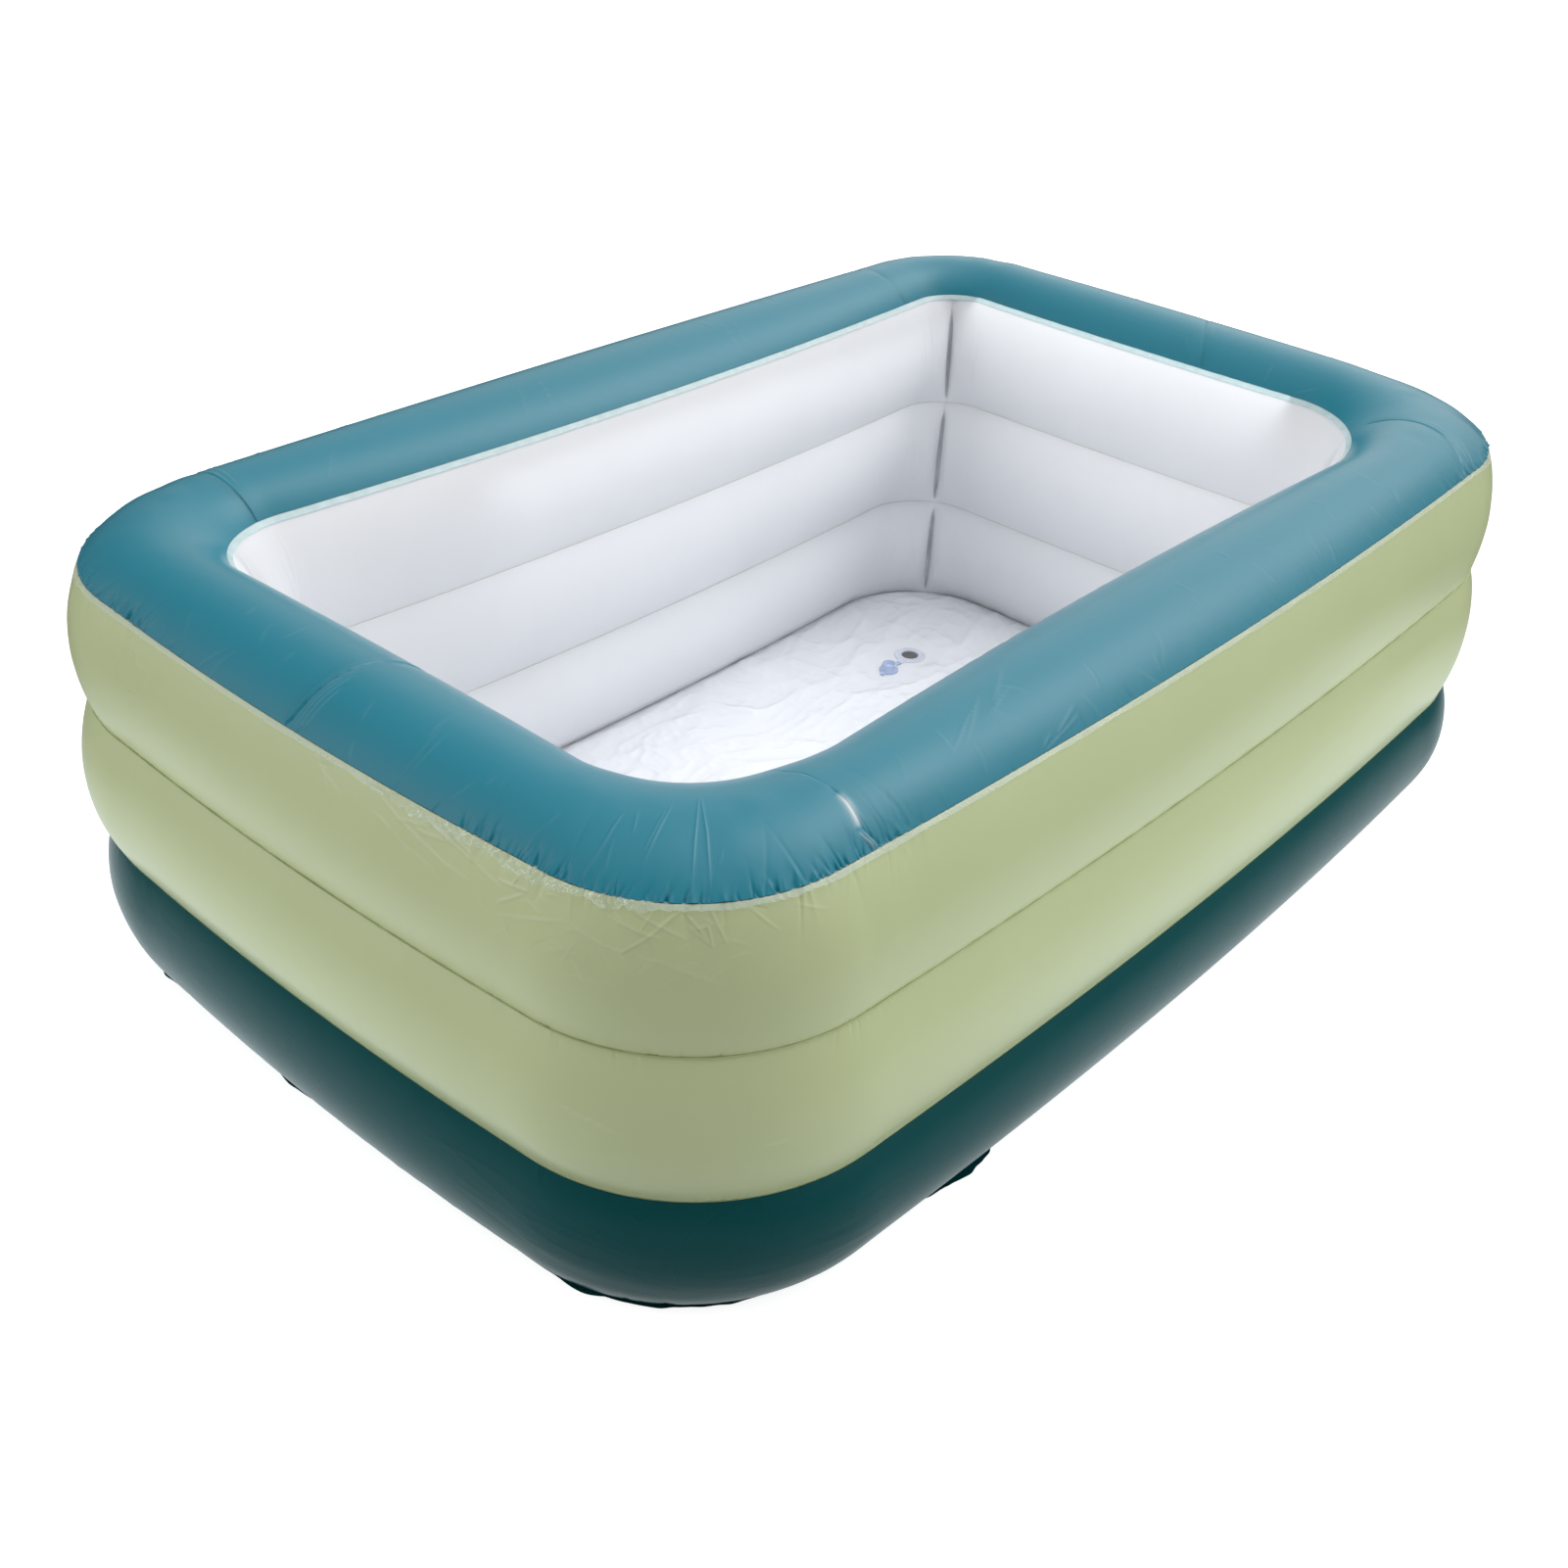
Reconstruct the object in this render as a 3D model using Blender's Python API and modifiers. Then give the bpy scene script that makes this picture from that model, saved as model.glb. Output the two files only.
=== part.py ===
"""Inflatable family pool: three stacked air rings of welded vinyl sheet round a vinyl floor.

Metres, +Z up. The origin is on the ground under the middle of the pool, +X runs along the long
side towards the drain end. Each sheet is its own shell, cut and shaped as the real panel is, and
meets its neighbours at the weld lines.
"""

import math

import bmesh
import bpy
from mathutils import Matrix, Vector

# Vinyl sheet and the gap that touching pieces keep
SHEET_THICKNESS = 0.0004
SEAM_GAP = 0.0003
MERGE_DISTANCE = 0.00001

# Outer weld line of the rim, the widest part of the top ring
RIM_HALF_LENGTH = 0.980
RIM_HALF_WIDTH = 0.6035
RIM_CORNER_RADIUS = 0.213
LONG_SIDE_BOW = 0.035
SHORT_SIDE_BOW = 0.0365

# Ring heights between the weld lines
BOTTOM_RING_HEIGHT = 0.205
MIDDLE_RING_HEIGHT = 0.210
TOP_RING_HEIGHT = 0.190
RIM_CROWN = 0.044

# Outer creases: how far each lies outside the rim's weld line, along X and along Y
UPPER_CREASE_OUTSET_X = 0.010
UPPER_CREASE_OUTSET_Y = 0.025
UPPER_CREASE_CORNER_RADIUS = 0.250
LOWER_CREASE_OUTSET_X = 0.007
LOWER_CREASE_OUTSET_Y = 0.035
LOWER_CREASE_CORNER_RADIUS = 0.267
BASE_INSET_X = 0.019
BASE_INSET_Y = 0.003
BASE_CORNER_RADIUS = 0.245

# Inner weld lines: how far each lies inside the rim's weld line, along X and along Y
RIM_WIDTH_X = 0.1415
RIM_WIDTH_Y = 0.1308
UPPER_INNER_INSET_X = 0.189
UPPER_INNER_INSET_Y = 0.160
UPPER_INNER_CORNER_RADIUS = 0.102
LOWER_INNER_INSET_X = 0.191
LOWER_INNER_INSET_Y = 0.1255
LOWER_INNER_CORNER_RADIUS = 0.130
FLOOR_INSET_X = 0.159
FLOOR_INSET_Y = 0.1025
FLOOR_CORNER_RADIUS = 0.200
INNER_LONG_SIDE_BOW = -0.0286
INNER_SHORT_SIDE_BOW = -0.0065
RIM_INNER_LONG_SIDE_BOW = -0.033
RIM_INNER_SHORT_SIDE_BOW = -0.0122

# The rim's inner weld line has a corner of its own at each end, longer along the pool than across
RIM_INNER_RIGHT_RADIUS_X = 0.247
RIM_INNER_RIGHT_RADIUS_Y = 0.198
RIM_INNER_BACK_RADIUS_X = 0.094
RIM_INNER_BACK_RADIUS_Y = 0.090
RIM_INNER_LEFT_RADIUS_X = 0.178
RIM_INNER_LEFT_RADIUS_Y = 0.168
RIM_INNER_FRONT_RADIUS_X = 0.278
RIM_INNER_FRONT_RADIUS_Y = 0.195

# How far the air pushes each wall out past its weld lines, on the short and the long sides
TOP_BULGE_SHORT = 0.0205
TOP_BULGE_LONG = 0.016
MIDDLE_BULGE_SHORT = 0.027
MIDDLE_BULGE_LONG = 0.0175
BOTTOM_BULGE_SHORT = 0.028
BOTTOM_BULGE_LONG = 0.0395
INNER_BULGE = 0.030
CORNER_FOLD_SHARE = 0.20
CORNER_FOLD_SHARPNESS = 4.6

# Welded edges
RIM_FLANGE_OUT = 0.007
RIM_FLANGE_IN = 0.003
INNER_FLANGE_OUT = 0.004
WEB_FLANGE = 0.003
WEB_INNER_LIP = 0.001
SKIRT_WIDTH = 0.016
SKIRT_WAVE = 0.006
SKIRT_WAVE_COUNT = 13
FLOOR_TUCK = 0.006

# Columns of points that all weld lines share: straight across the sides, and fanned out in each
# corner from a point set back from the middle of the rim's outer corner
FAN_SETBACK_X = 0.067
FAN_SETBACK_Y = 0.050
CORNER_STEPS = 6
LONG_SIDE_SHARES = (0.0, 0.25, 0.5, 0.75, 1.0)
SHORT_SIDE_SHARES = (0.0, 0.25, 0.5, 0.75, 1.0)
CROSSING_HALVINGS = 40
BULGE_STEPS = 5
CROWN_STEPS = 6

# Drain in the floor: a flanged seat, and a stopper that flips over on its strap
DRAIN_X = 0.544
DRAIN_Y = 0.266
DRAIN_TURN_DEGREES = 186.6
DRAIN_BORE_RADIUS = 0.016
DRAIN_WALL = 0.0015
DRAIN_FLANGE_RADIUS = 0.030
DRAIN_FLANGE_THICKNESS = 0.0017
DRAIN_HINGE_DISTANCE = 0.038
DRAIN_LUG_WIDTH = 0.012
DRAIN_LUG_END = 0.003
DRAIN_STEPS = 32
STOPPER_CAP_OVERLAP = 0.0020
STOPPER_LENGTH = 0.012
STOPPER_TAPER = 0.0024
STOPPER_CLEARANCE = 0.0006
STOPPER_DISH_DEPTH = 0.006
STOPPER_RIM = 0.002
STRAP_WIDTH = 0.009
STRAP_THICKNESS = 0.001
STRAP_STEP = 0.0002
PULL_TAB_LENGTH = 0.008
MOULDED_EDGE = 0.0005

# Air valves on the short side behind the drain, one for each ring
VALVE_SEAT_RADIUS = 0.0165
VALVE_SEAT_THICKNESS = 0.0010
VALVE_COLLAR_RADIUS = 0.0095
VALVE_COLLAR_HEIGHT = 0.0020
NECK_BORE_RADIUS = 0.0042
NECK_WALL = 0.0018
NECK_CLEARANCE = 0.0004
NECK_LENGTH = 0.014
NECK_LIP_RADIUS = 0.0085
NECK_LIP_THICKNESS = 0.0014
NECK_STOP_RADIUS = 0.0078
NECK_STOP_THICKNESS = 0.0012
VALVE_HINGE_DISTANCE = 0.0105
VALVE_EAR_END = 0.0015
VALVE_EAR_WIDTH = 0.006
PLUG_CAP_RADIUS = 0.0072
PLUG_LENGTH = 0.006
PLUG_TAPER = 0.0015
PLUG_CLEARANCE = 0.0003
PLUG_STRAP_WIDTH = 0.005
PLUG_STRAP_THICKNESS = 0.001
PLUG_TAB_LENGTH = 0.004
FLAP_RADIUS = 0.0062
FLAP_THICKNESS = 0.0005
VALVE_STEPS = 20
CUT_OVERRUN = 0.004

# Weld levels, from the sizes above
BASE_TOP = SHEET_THICKNESS
FLOOR_BOTTOM = BASE_TOP + SEAM_GAP
FLOOR_TOP = FLOOR_BOTTOM + SHEET_THICKNESS
LOWER_CREASE_Z = BOTTOM_RING_HEIGHT
UPPER_CREASE_Z = LOWER_CREASE_Z + MIDDLE_RING_HEIGHT
RIM_Z = UPPER_CREASE_Z + TOP_RING_HEIGHT
WELD_STACK = SHEET_THICKNESS / 2 + SEAM_GAP


# Signs of X and Y at the right, back, left and front corners, counter-clockwise from above
CORNER_SIGNS = ((1, -1), (1, 1), (-1, 1), (-1, -1))
FAN_X = RIM_HALF_LENGTH - RIM_CORNER_RADIUS - FAN_SETBACK_X
FAN_Y = RIM_HALF_WIDTH - RIM_CORNER_RADIUS - FAN_SETBACK_Y
FRONT_START = 0
RIGHT_START = len(LONG_SIDE_SHARES) + CORNER_STEPS + 1
BACK_START = RIGHT_START + len(SHORT_SIDE_SHARES) + CORNER_STEPS + 1
LEFT_START = BACK_START + RIGHT_START
LINE_COUNT = 2 * BACK_START


def column_guides():
    """Rays seen from above, one for each column, from the front long side's -X end.

    Each is (start, direction, fold), with fold 0 on the sides and 1 in the middle of a corner.
    """
    guides = []
    for sign_x, sign_y in CORNER_SIGNS:
        after_long_side = sign_x != sign_y
        if after_long_side:
            for share in LONG_SIDE_SHARES:
                start = Vector((sign_x * FAN_X * (2 * share - 1), 0))
                guides.append((start, Vector((0, sign_y)), 0))
        else:
            for share in SHORT_SIDE_SHARES:
                start = Vector((0, sign_y * FAN_Y * (2 * share - 1)))
                guides.append((start, Vector((sign_x, 0)), 0))
        for step in range(CORNER_STEPS + 1):
            turn = step / CORNER_STEPS
            angle = math.pi / 2 * (1 - turn if after_long_side else turn)
            across = Vector((sign_x * (FAN_SETBACK_X + RIM_CORNER_RADIUS * math.cos(angle)),
                             sign_y * (FAN_SETBACK_Y + RIM_CORNER_RADIUS * math.sin(angle))))
            start = Vector((sign_x * FAN_X, sign_y * FAN_Y))
            guides.append((start, across.normalized(), 1 - abs(2 * turn - 1)))
    return guides


GUIDES = column_guides()


def same_corners(radius):
    """One radius for all four corners, along X and along Y."""
    return ((radius, radius),) * len(CORNER_SIGNS)


def inside_line(point, half_length, half_width, corners, long_bow, short_bow):
    """Whether a point lies inside a rectangle with bowed sides and elliptical corners."""
    signs = (1 if point.x > 0 else -1, 1 if point.y > 0 else -1)
    radius_x, radius_y = corners[CORNER_SIGNS.index(signs)]
    x, y = abs(point.x), abs(point.y)
    centre_x = half_length - radius_x
    centre_y = half_width - radius_y
    if x < centre_x or y < centre_y:
        return (x < half_length + short_bow * (1 - (y / half_width) ** 2)
                and y < half_width + long_bow * (1 - (x / half_length) ** 2))
    reach_x = radius_x + short_bow * (1 - (centre_y / half_width) ** 2)
    reach_y = radius_y + long_bow * (1 - (centre_x / half_length) ** 2)
    return ((x - centre_x) / reach_x) ** 2 + ((y - centre_y) / reach_y) ** 2 < 1


def plan_line(half_length, half_width, corners, long_bow, short_bow):
    """Points and outward normals of a weld line seen from above, one where each guide meets it."""
    points = []
    for start, direction, _ in GUIDES:
        near, far = 0.0, half_length + half_width
        for _ in range(CROSSING_HALVINGS):
            middle = (near + far) / 2
            if inside_line(start + direction * middle, half_length, half_width, corners,
                           long_bow, short_bow):
                near = middle
            else:
                far = middle
        points.append(start + direction * near)
    normals = []
    for index in range(LINE_COUNT):
        along = points[(index + 1) % LINE_COUNT] - points[index - 1]
        normals.append(Vector((along.y, -along.x)).normalized())
    return points, normals


def outer_line(outset_x, outset_y, radius):
    """A weld line on the outside of the rings."""
    return plan_line(RIM_HALF_LENGTH + outset_x, RIM_HALF_WIDTH + outset_y,
                     same_corners(radius), LONG_SIDE_BOW, SHORT_SIDE_BOW)


def inner_line(inset_x, inset_y, radius):
    """A weld line on the basin side of the rings."""
    return plan_line(RIM_HALF_LENGTH - inset_x, RIM_HALF_WIDTH - inset_y,
                     same_corners(radius), INNER_LONG_SIDE_BOW, INNER_SHORT_SIDE_BOW)


RIM_OUTER = outer_line(0, 0, RIM_CORNER_RADIUS)
UPPER_OUTER = outer_line(UPPER_CREASE_OUTSET_X, UPPER_CREASE_OUTSET_Y, UPPER_CREASE_CORNER_RADIUS)
LOWER_OUTER = outer_line(LOWER_CREASE_OUTSET_X, LOWER_CREASE_OUTSET_Y, LOWER_CREASE_CORNER_RADIUS)
BASE_OUTER = outer_line(-BASE_INSET_X, -BASE_INSET_Y, BASE_CORNER_RADIUS)
RIM_INNER = plan_line(RIM_HALF_LENGTH - RIM_WIDTH_X, RIM_HALF_WIDTH - RIM_WIDTH_Y,
                      ((RIM_INNER_RIGHT_RADIUS_X, RIM_INNER_RIGHT_RADIUS_Y),
                       (RIM_INNER_BACK_RADIUS_X, RIM_INNER_BACK_RADIUS_Y),
                       (RIM_INNER_LEFT_RADIUS_X, RIM_INNER_LEFT_RADIUS_Y),
                       (RIM_INNER_FRONT_RADIUS_X, RIM_INNER_FRONT_RADIUS_Y)),
                      RIM_INNER_LONG_SIDE_BOW, RIM_INNER_SHORT_SIDE_BOW)
UPPER_INNER = inner_line(UPPER_INNER_INSET_X, UPPER_INNER_INSET_Y, UPPER_INNER_CORNER_RADIUS)
LOWER_INNER = inner_line(LOWER_INNER_INSET_X, LOWER_INNER_INSET_Y, LOWER_INNER_CORNER_RADIUS)
FLOOR_INNER = inner_line(FLOOR_INSET_X, FLOOR_INSET_Y, FLOOR_CORNER_RADIUS)


def lifted(line, height, outset=0.0):
    """The line's points at a height, moved outward along its normals."""
    points, normals = line
    return [(point + normal * outset).to_3d() + Vector((0, 0, height))
            for point, normal in zip(points, normals)]


def arc_between(start, end, sagitta, side, steps):
    """Points on the circular arc from start to end that rises by sagitta towards side."""
    chord = end - start
    along = chord.normalized()
    rise = (side - along * side.dot(along)).normalized()
    radius = (chord.length_squared / 4 + sagitta ** 2) / (2 * sagitta)
    half_angle = math.atan2(chord.length / 2, radius - sagitta)
    centre = (start + end) / 2 - rise * (radius - sagitta)
    points = []
    for step in range(steps + 1):
        angle = half_angle * (2 * step / steps - 1)
        points.append(centre + (along * math.sin(angle) + rise * math.cos(angle)) * radius)
    return points


def outer_wall_rows(lower, lower_z, upper, upper_z, short_bulge, long_bulge):
    """Arcs of one ring's outer wall, one for each point round the pool, from bottom to top."""
    rows = []
    for start, end, normal in zip(lifted(lower, lower_z), lifted(upper, upper_z), lower[1]):
        sagitta = short_bulge * normal.x ** 2 + long_bulge * normal.y ** 2
        rows.append(arc_between(start, end, sagitta, normal.to_3d(), BULGE_STEPS))
    return rows


def inner_wall_rows(lower, lower_z, upper, upper_z):
    """Arcs of one ring's basin wall, from top to bottom.

    At each corner the two walls' bulges run into a vertical fold, where the wall is nearly flat.
    """
    rows = []
    ends = zip(lifted(upper, upper_z), lifted(lower, lower_z), lower[1], GUIDES)
    for start, end, normal, guide in ends:
        fold = guide[2] ** CORNER_FOLD_SHARPNESS
        sagitta = INNER_BULGE * (1 - (1 - CORNER_FOLD_SHARE) * fold)
        rows.append(arc_between(start, end, sagitta, -normal.to_3d(), BULGE_STEPS))
    return rows


def rim_rows():
    """Arcs of the rim, from the outer to the inner weld line."""
    height = RIM_Z + WELD_STACK + SHEET_THICKNESS / 2
    up = Vector((0, 0, 1))
    return [arc_between(start, end, RIM_CROWN, up, CROWN_STEPS)
            for start, end in zip(lifted(RIM_OUTER, height), lifted(RIM_INNER, height))]


def clear_scene():
    for old in list(bpy.data.objects):
        bpy.data.objects.remove(old)


def new_collection(name):
    collection = bpy.data.collections.new(name)
    bpy.context.scene.collection.children.link(collection)
    return collection


def new_material(name, colour, roughness, alpha=1.0):
    material = bpy.data.materials.new(name)
    material.use_nodes = True
    shader = material.node_tree.nodes["Principled BSDF"]
    shader.inputs["Base Color"].default_value = (*colour, 1.0)
    shader.inputs["Roughness"].default_value = roughness
    shader.inputs["Metallic"].default_value = 0.0
    shader.inputs["Alpha"].default_value = alpha
    return material


def new_object(name, mesh, collection, material=None):
    item = bpy.data.objects.new(name, mesh)
    collection.objects.link(item)
    if material:
        mesh.materials.append(material)
    return item


def make_cutter(item):
    item.hide_render = True
    item.display_type = "WIRE"
    return item


def loft(name, rows, closed, material, offset=-1.0):
    """A sheet through rows of points, given its thickness on the side away from its front."""
    mesh = bpy.data.meshes.new(name)
    work = bmesh.new()
    grid = [[work.verts.new(point) for point in row] for row in rows]
    pairs = list(zip(grid, grid[1:]))
    if closed:
        pairs.append((grid[-1], grid[0]))
    for row, following in pairs:
        for step in range(len(row) - 1):
            work.faces.new((row[step], following[step], following[step + 1], row[step + 1]))
    work.to_mesh(mesh)
    work.free()
    mesh.shade_smooth()
    item = new_object(name, mesh, parts, material)
    thicken(item, offset)
    return item


def flat_sheet(name, outline, material):
    """A flat sheet filling an outline, its thickness below it."""
    mesh = bpy.data.meshes.new(name)
    work = bmesh.new()
    work.faces.new([work.verts.new(point) for point in outline])
    work.to_mesh(mesh)
    work.free()
    item = new_object(name, mesh, parts, material)
    thicken(item, -1.0)
    return item


def thicken(item, offset):
    modifier = item.modifiers.new("sheet", "SOLIDIFY")
    modifier.thickness = SHEET_THICKNESS
    modifier.offset = offset
    modifier.use_even_offset = True


def turned(name, profile, steps, frame, material):
    """A solid of revolution about a frame's Z. An outer side runs down, a bore's side runs up."""
    mesh = bpy.data.meshes.new(name)
    count = len(profile)
    edges = [(index, index + 1) for index in range(count - 1)]
    if profile[0][0] > 0:
        edges.append((count - 1, 0))
    mesh.from_pydata([(radius, 0, height) for radius, height in profile], edges, [])
    item = new_object(name, mesh, parts, material)
    screw = item.modifiers.new("turn", "SCREW")
    screw.steps = steps
    screw.render_steps = steps
    screw.use_merge_vertices = True
    screw.merge_threshold = MERGE_DISTANCE
    item.matrix_world = frame
    return item


def add_axis(name, frame, place):
    """An empty on a joint's axis, which carries the piece that moves."""
    axis = bpy.data.objects.new(name, None)
    parts.objects.link(axis)
    axis.matrix_world = frame @ Matrix.Translation(place)
    return axis


def hang_on(item, axis):
    """Parent a piece to its joint's empty and keep it where it is."""
    item.parent = axis
    item.matrix_parent_inverse = axis.matrix_basis.inverted()


def block(name, low, high, matrix):
    """A box between two local corners, used to join to or cut from another piece."""
    mesh = bpy.data.meshes.new(name)
    work = bmesh.new()
    bmesh.ops.create_cube(work, size=1.0)
    for vertex in work.verts:
        for axis in range(3):
            middle = (low[axis] + high[axis]) / 2
            vertex.co[axis] = middle + vertex.co[axis] * (high[axis] - low[axis])
    work.to_mesh(mesh)
    work.free()
    item = make_cutter(new_object(name, mesh, cutters))
    item.matrix_world = matrix
    return item


def rod(name, radius, low, high, steps, matrix):
    """A round cutter along local Z."""
    mesh = bpy.data.meshes.new(name)
    work = bmesh.new()
    placing = Matrix.Translation((0, 0, (low + high) / 2))
    bmesh.ops.create_cone(work, cap_ends=True, segments=steps, radius1=radius, radius2=radius,
                          depth=high - low, matrix=placing)
    work.to_mesh(mesh)
    work.free()
    item = make_cutter(new_object(name, mesh, cutters))
    item.matrix_world = matrix
    return item


def boolean(item, other, operation):
    modifier = item.modifiers.new(operation.lower(), "BOOLEAN")
    modifier.operation = operation
    modifier.object = other
    modifier.solver = "EXACT"


def build_walls():
    """The outer and basin walls of the three rings, as (outer wall, its rows) by ring."""
    above = WELD_STACK
    levels = (
        ("bottom", BASE_OUTER, FLOOR_INNER, BASE_TOP + SEAM_GAP, FLOOR_TOP + SEAM_GAP,
         LOWER_OUTER, LOWER_INNER, LOWER_CREASE_Z - above, BOTTOM_BULGE_SHORT, BOTTOM_BULGE_LONG),
        ("middle", LOWER_OUTER, LOWER_INNER, LOWER_CREASE_Z + above, LOWER_CREASE_Z + above,
         UPPER_OUTER, UPPER_INNER, UPPER_CREASE_Z - above, MIDDLE_BULGE_SHORT, MIDDLE_BULGE_LONG),
        ("top", UPPER_OUTER, UPPER_INNER, UPPER_CREASE_Z + above, UPPER_CREASE_Z + above,
         RIM_OUTER, RIM_INNER, RIM_Z - above, TOP_BULGE_SHORT, TOP_BULGE_LONG),
    )
    walls = {}
    for (ring, outer_low, inner_low, outer_z, inner_z, outer_high, inner_high, top_z,
         short_bulge, long_bulge) in levels:
        colour = dark_green if ring == "bottom" else light_green
        rows = outer_wall_rows(outer_low, outer_z, outer_high, top_z, short_bulge, long_bulge)
        walls[ring] = (loft(ring + "_ring_outer_wall", rows, True, colour), rows)
        rows = inner_wall_rows(inner_low, inner_z, inner_high, top_z)
        loft(ring + "_ring_basin_wall", rows, True, white)
    return walls


def build_webs():
    """The flat sheets inside, which part the rings and pinch the walls at the creases."""
    for name, outer, inner, height, colour in (
            ("lower_partition_sheet", LOWER_OUTER, LOWER_INNER, LOWER_CREASE_Z, light_green),
            ("upper_partition_sheet", UPPER_OUTER, UPPER_INNER, UPPER_CREASE_Z, light_green)):
        rows = [list(pair) for pair in zip(lifted(outer, height, WEB_FLANGE),
                                           lifted(inner, height, -WEB_INNER_LIP))]
        loft(name, rows, True, colour, 0.0)


def build_rim():
    """Six rim panels, parted at the cross welds, and the clear weld strips along their edges."""
    rows = rim_rows()
    left_weld = LEFT_START + len(SHORT_SIDE_SHARES) // 2
    right_weld = RIGHT_START + len(SHORT_SIDE_SHARES) // 2
    front_welds = (FRONT_START, FRONT_START + len(LONG_SIDE_SHARES))
    back_welds = (BACK_START - 1, BACK_START + len(LONG_SIDE_SHARES) - 1)
    for name, first, last in (
            ("front_corner_rim_panel", left_weld - LINE_COUNT, front_welds[0]),
            ("front_rim_panel", front_welds[0], front_welds[1]),
            ("right_corner_rim_panel", front_welds[1], right_weld),
            ("back_corner_rim_panel", right_weld, back_welds[0]),
            ("back_rim_panel", back_welds[0], back_welds[1]),
            ("left_corner_rim_panel", back_welds[1], left_weld)):
        panel = [list(rows[index % LINE_COUNT]) for index in range(first, last + 1)]
        pull_back(panel[0], panel[1])
        pull_back(panel[-1], panel[-2])
        loft(name, panel, False, teal)
    strips = (("outer_rim_weld_strip", RIM_OUTER, RIM_FLANGE_OUT, -RIM_FLANGE_IN),
              ("inner_rim_weld_strip", RIM_INNER, RIM_FLANGE_IN, -INNER_FLANGE_OUT))
    for name, line, outward, inward in strips:
        rows = [list(pair) for pair in zip(lifted(line, RIM_Z, outward),
                                           lifted(line, RIM_Z, inward))]
        loft(name, rows, True, clear, 0.0)


def pull_back(edge, neighbour):
    """Draw a panel's end row towards the next row by half of the gap between two panels."""
    for step, point in enumerate(edge):
        edge[step] = point + (neighbour[step] - point).normalized() * SEAM_GAP / 2


def build_bottom():
    """The base sheet with its wavy welded skirt, and the floor sheet on it."""
    points, normals = BASE_OUTER
    outline = []
    for index, (point, normal) in enumerate(zip(points, normals)):
        wave = math.cos(2 * math.pi * SKIRT_WAVE_COUNT * index / LINE_COUNT)
        outline.append((point + normal * (SKIRT_WIDTH + SKIRT_WAVE * wave)).to_3d())
    for point in outline:
        point.z = BASE_TOP
    base = flat_sheet("base_sheet", outline, dark_green)
    floor = flat_sheet("floor_sheet", lifted(FLOOR_INNER, FLOOR_TOP, FLOOR_TUCK), white)
    return base, floor


def drain_frame():
    """The drain's axis on the floor, its local +X towards the open stopper."""
    turn = Matrix.Rotation(math.radians(DRAIN_TURN_DEGREES), 4, "Z")
    return Matrix.Translation((DRAIN_X, DRAIN_Y, FLOOR_TOP)) @ turn


def build_drain(base, floor):
    """The flanged drain seat in the floor, and the stopper lying open beside it."""
    frame = drain_frame()
    outer_radius = DRAIN_BORE_RADIUS + DRAIN_WALL
    hole = rod("drain_hole", outer_radius + SEAM_GAP, -FLOOR_TOP - CUT_OVERRUN, CUT_OVERRUN,
               DRAIN_STEPS, frame)
    boolean(base, hole, "DIFFERENCE")
    boolean(floor, hole, "DIFFERENCE")

    low = SEAM_GAP
    top = low + DRAIN_FLANGE_THICKNESS
    seat = turned("drain_seat", [
        (DRAIN_BORE_RADIUS, top),
        (DRAIN_FLANGE_RADIUS - DRAIN_FLANGE_THICKNESS, top),
        (DRAIN_FLANGE_RADIUS, low + MOULDED_EDGE),
        (DRAIN_FLANGE_RADIUS, low),
        (outer_radius, low),
        (outer_radius, -FLOOR_TOP),
        (DRAIN_BORE_RADIUS, -FLOOR_TOP)], DRAIN_STEPS, frame, valve_blue)
    lug_end = DRAIN_HINGE_DISTANCE + DRAIN_LUG_END
    lug = block("drain_lug", (outer_radius, -DRAIN_LUG_WIDTH / 2, low + SEAM_GAP / 2),
                (lug_end, DRAIN_LUG_WIDTH / 2, top - SEAM_GAP / 2), frame)
    boolean(seat, lug, "UNION")

    cap_low = low
    strap_low = top + SEAM_GAP + STRAP_STEP
    strap_high = strap_low + STRAP_THICKNESS
    cap_high = strap_high + STRAP_STEP
    tip = cap_high + STOPPER_LENGTH
    cap_radius = DRAIN_BORE_RADIUS + STOPPER_CAP_OVERLAP
    root_radius = DRAIN_BORE_RADIUS - STOPPER_CLEARANCE
    tip_radius = root_radius - STOPPER_TAPER
    hinge = add_axis("drain_stopper_hinge", frame,
                     (DRAIN_HINGE_DISTANCE, 0, (strap_low + strap_high) / 2))
    centre = frame @ Matrix.Translation((2 * DRAIN_HINGE_DISTANCE, 0, 0))
    stopper = turned("drain_stopper", [
        (0, tip - STOPPER_DISH_DEPTH),
        (tip_radius - 2 * STOPPER_RIM, tip - STOPPER_DISH_DEPTH),
        (tip_radius - STOPPER_RIM, tip),
        (tip_radius, tip),
        (root_radius, cap_high),
        (cap_radius, cap_high),
        (cap_radius, cap_low + MOULDED_EDGE),
        (cap_radius - MOULDED_EDGE, cap_low),
        (0, cap_low)], DRAIN_STEPS, centre, valve_blue)
    strap = block("drain_strap", (-DRAIN_HINGE_DISTANCE, -STRAP_WIDTH / 2, strap_low),
                  (-root_radius, STRAP_WIDTH / 2, strap_high), centre)
    tab = block("drain_pull_tab", (root_radius, -STRAP_WIDTH / 2, strap_low),
                (cap_radius + PULL_TAB_LENGTH, STRAP_WIDTH / 2, strap_high), centre)
    boolean(stopper, strap, "UNION")
    boolean(stopper, tab, "UNION")
    hang_on(stopper, hinge)


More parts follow.
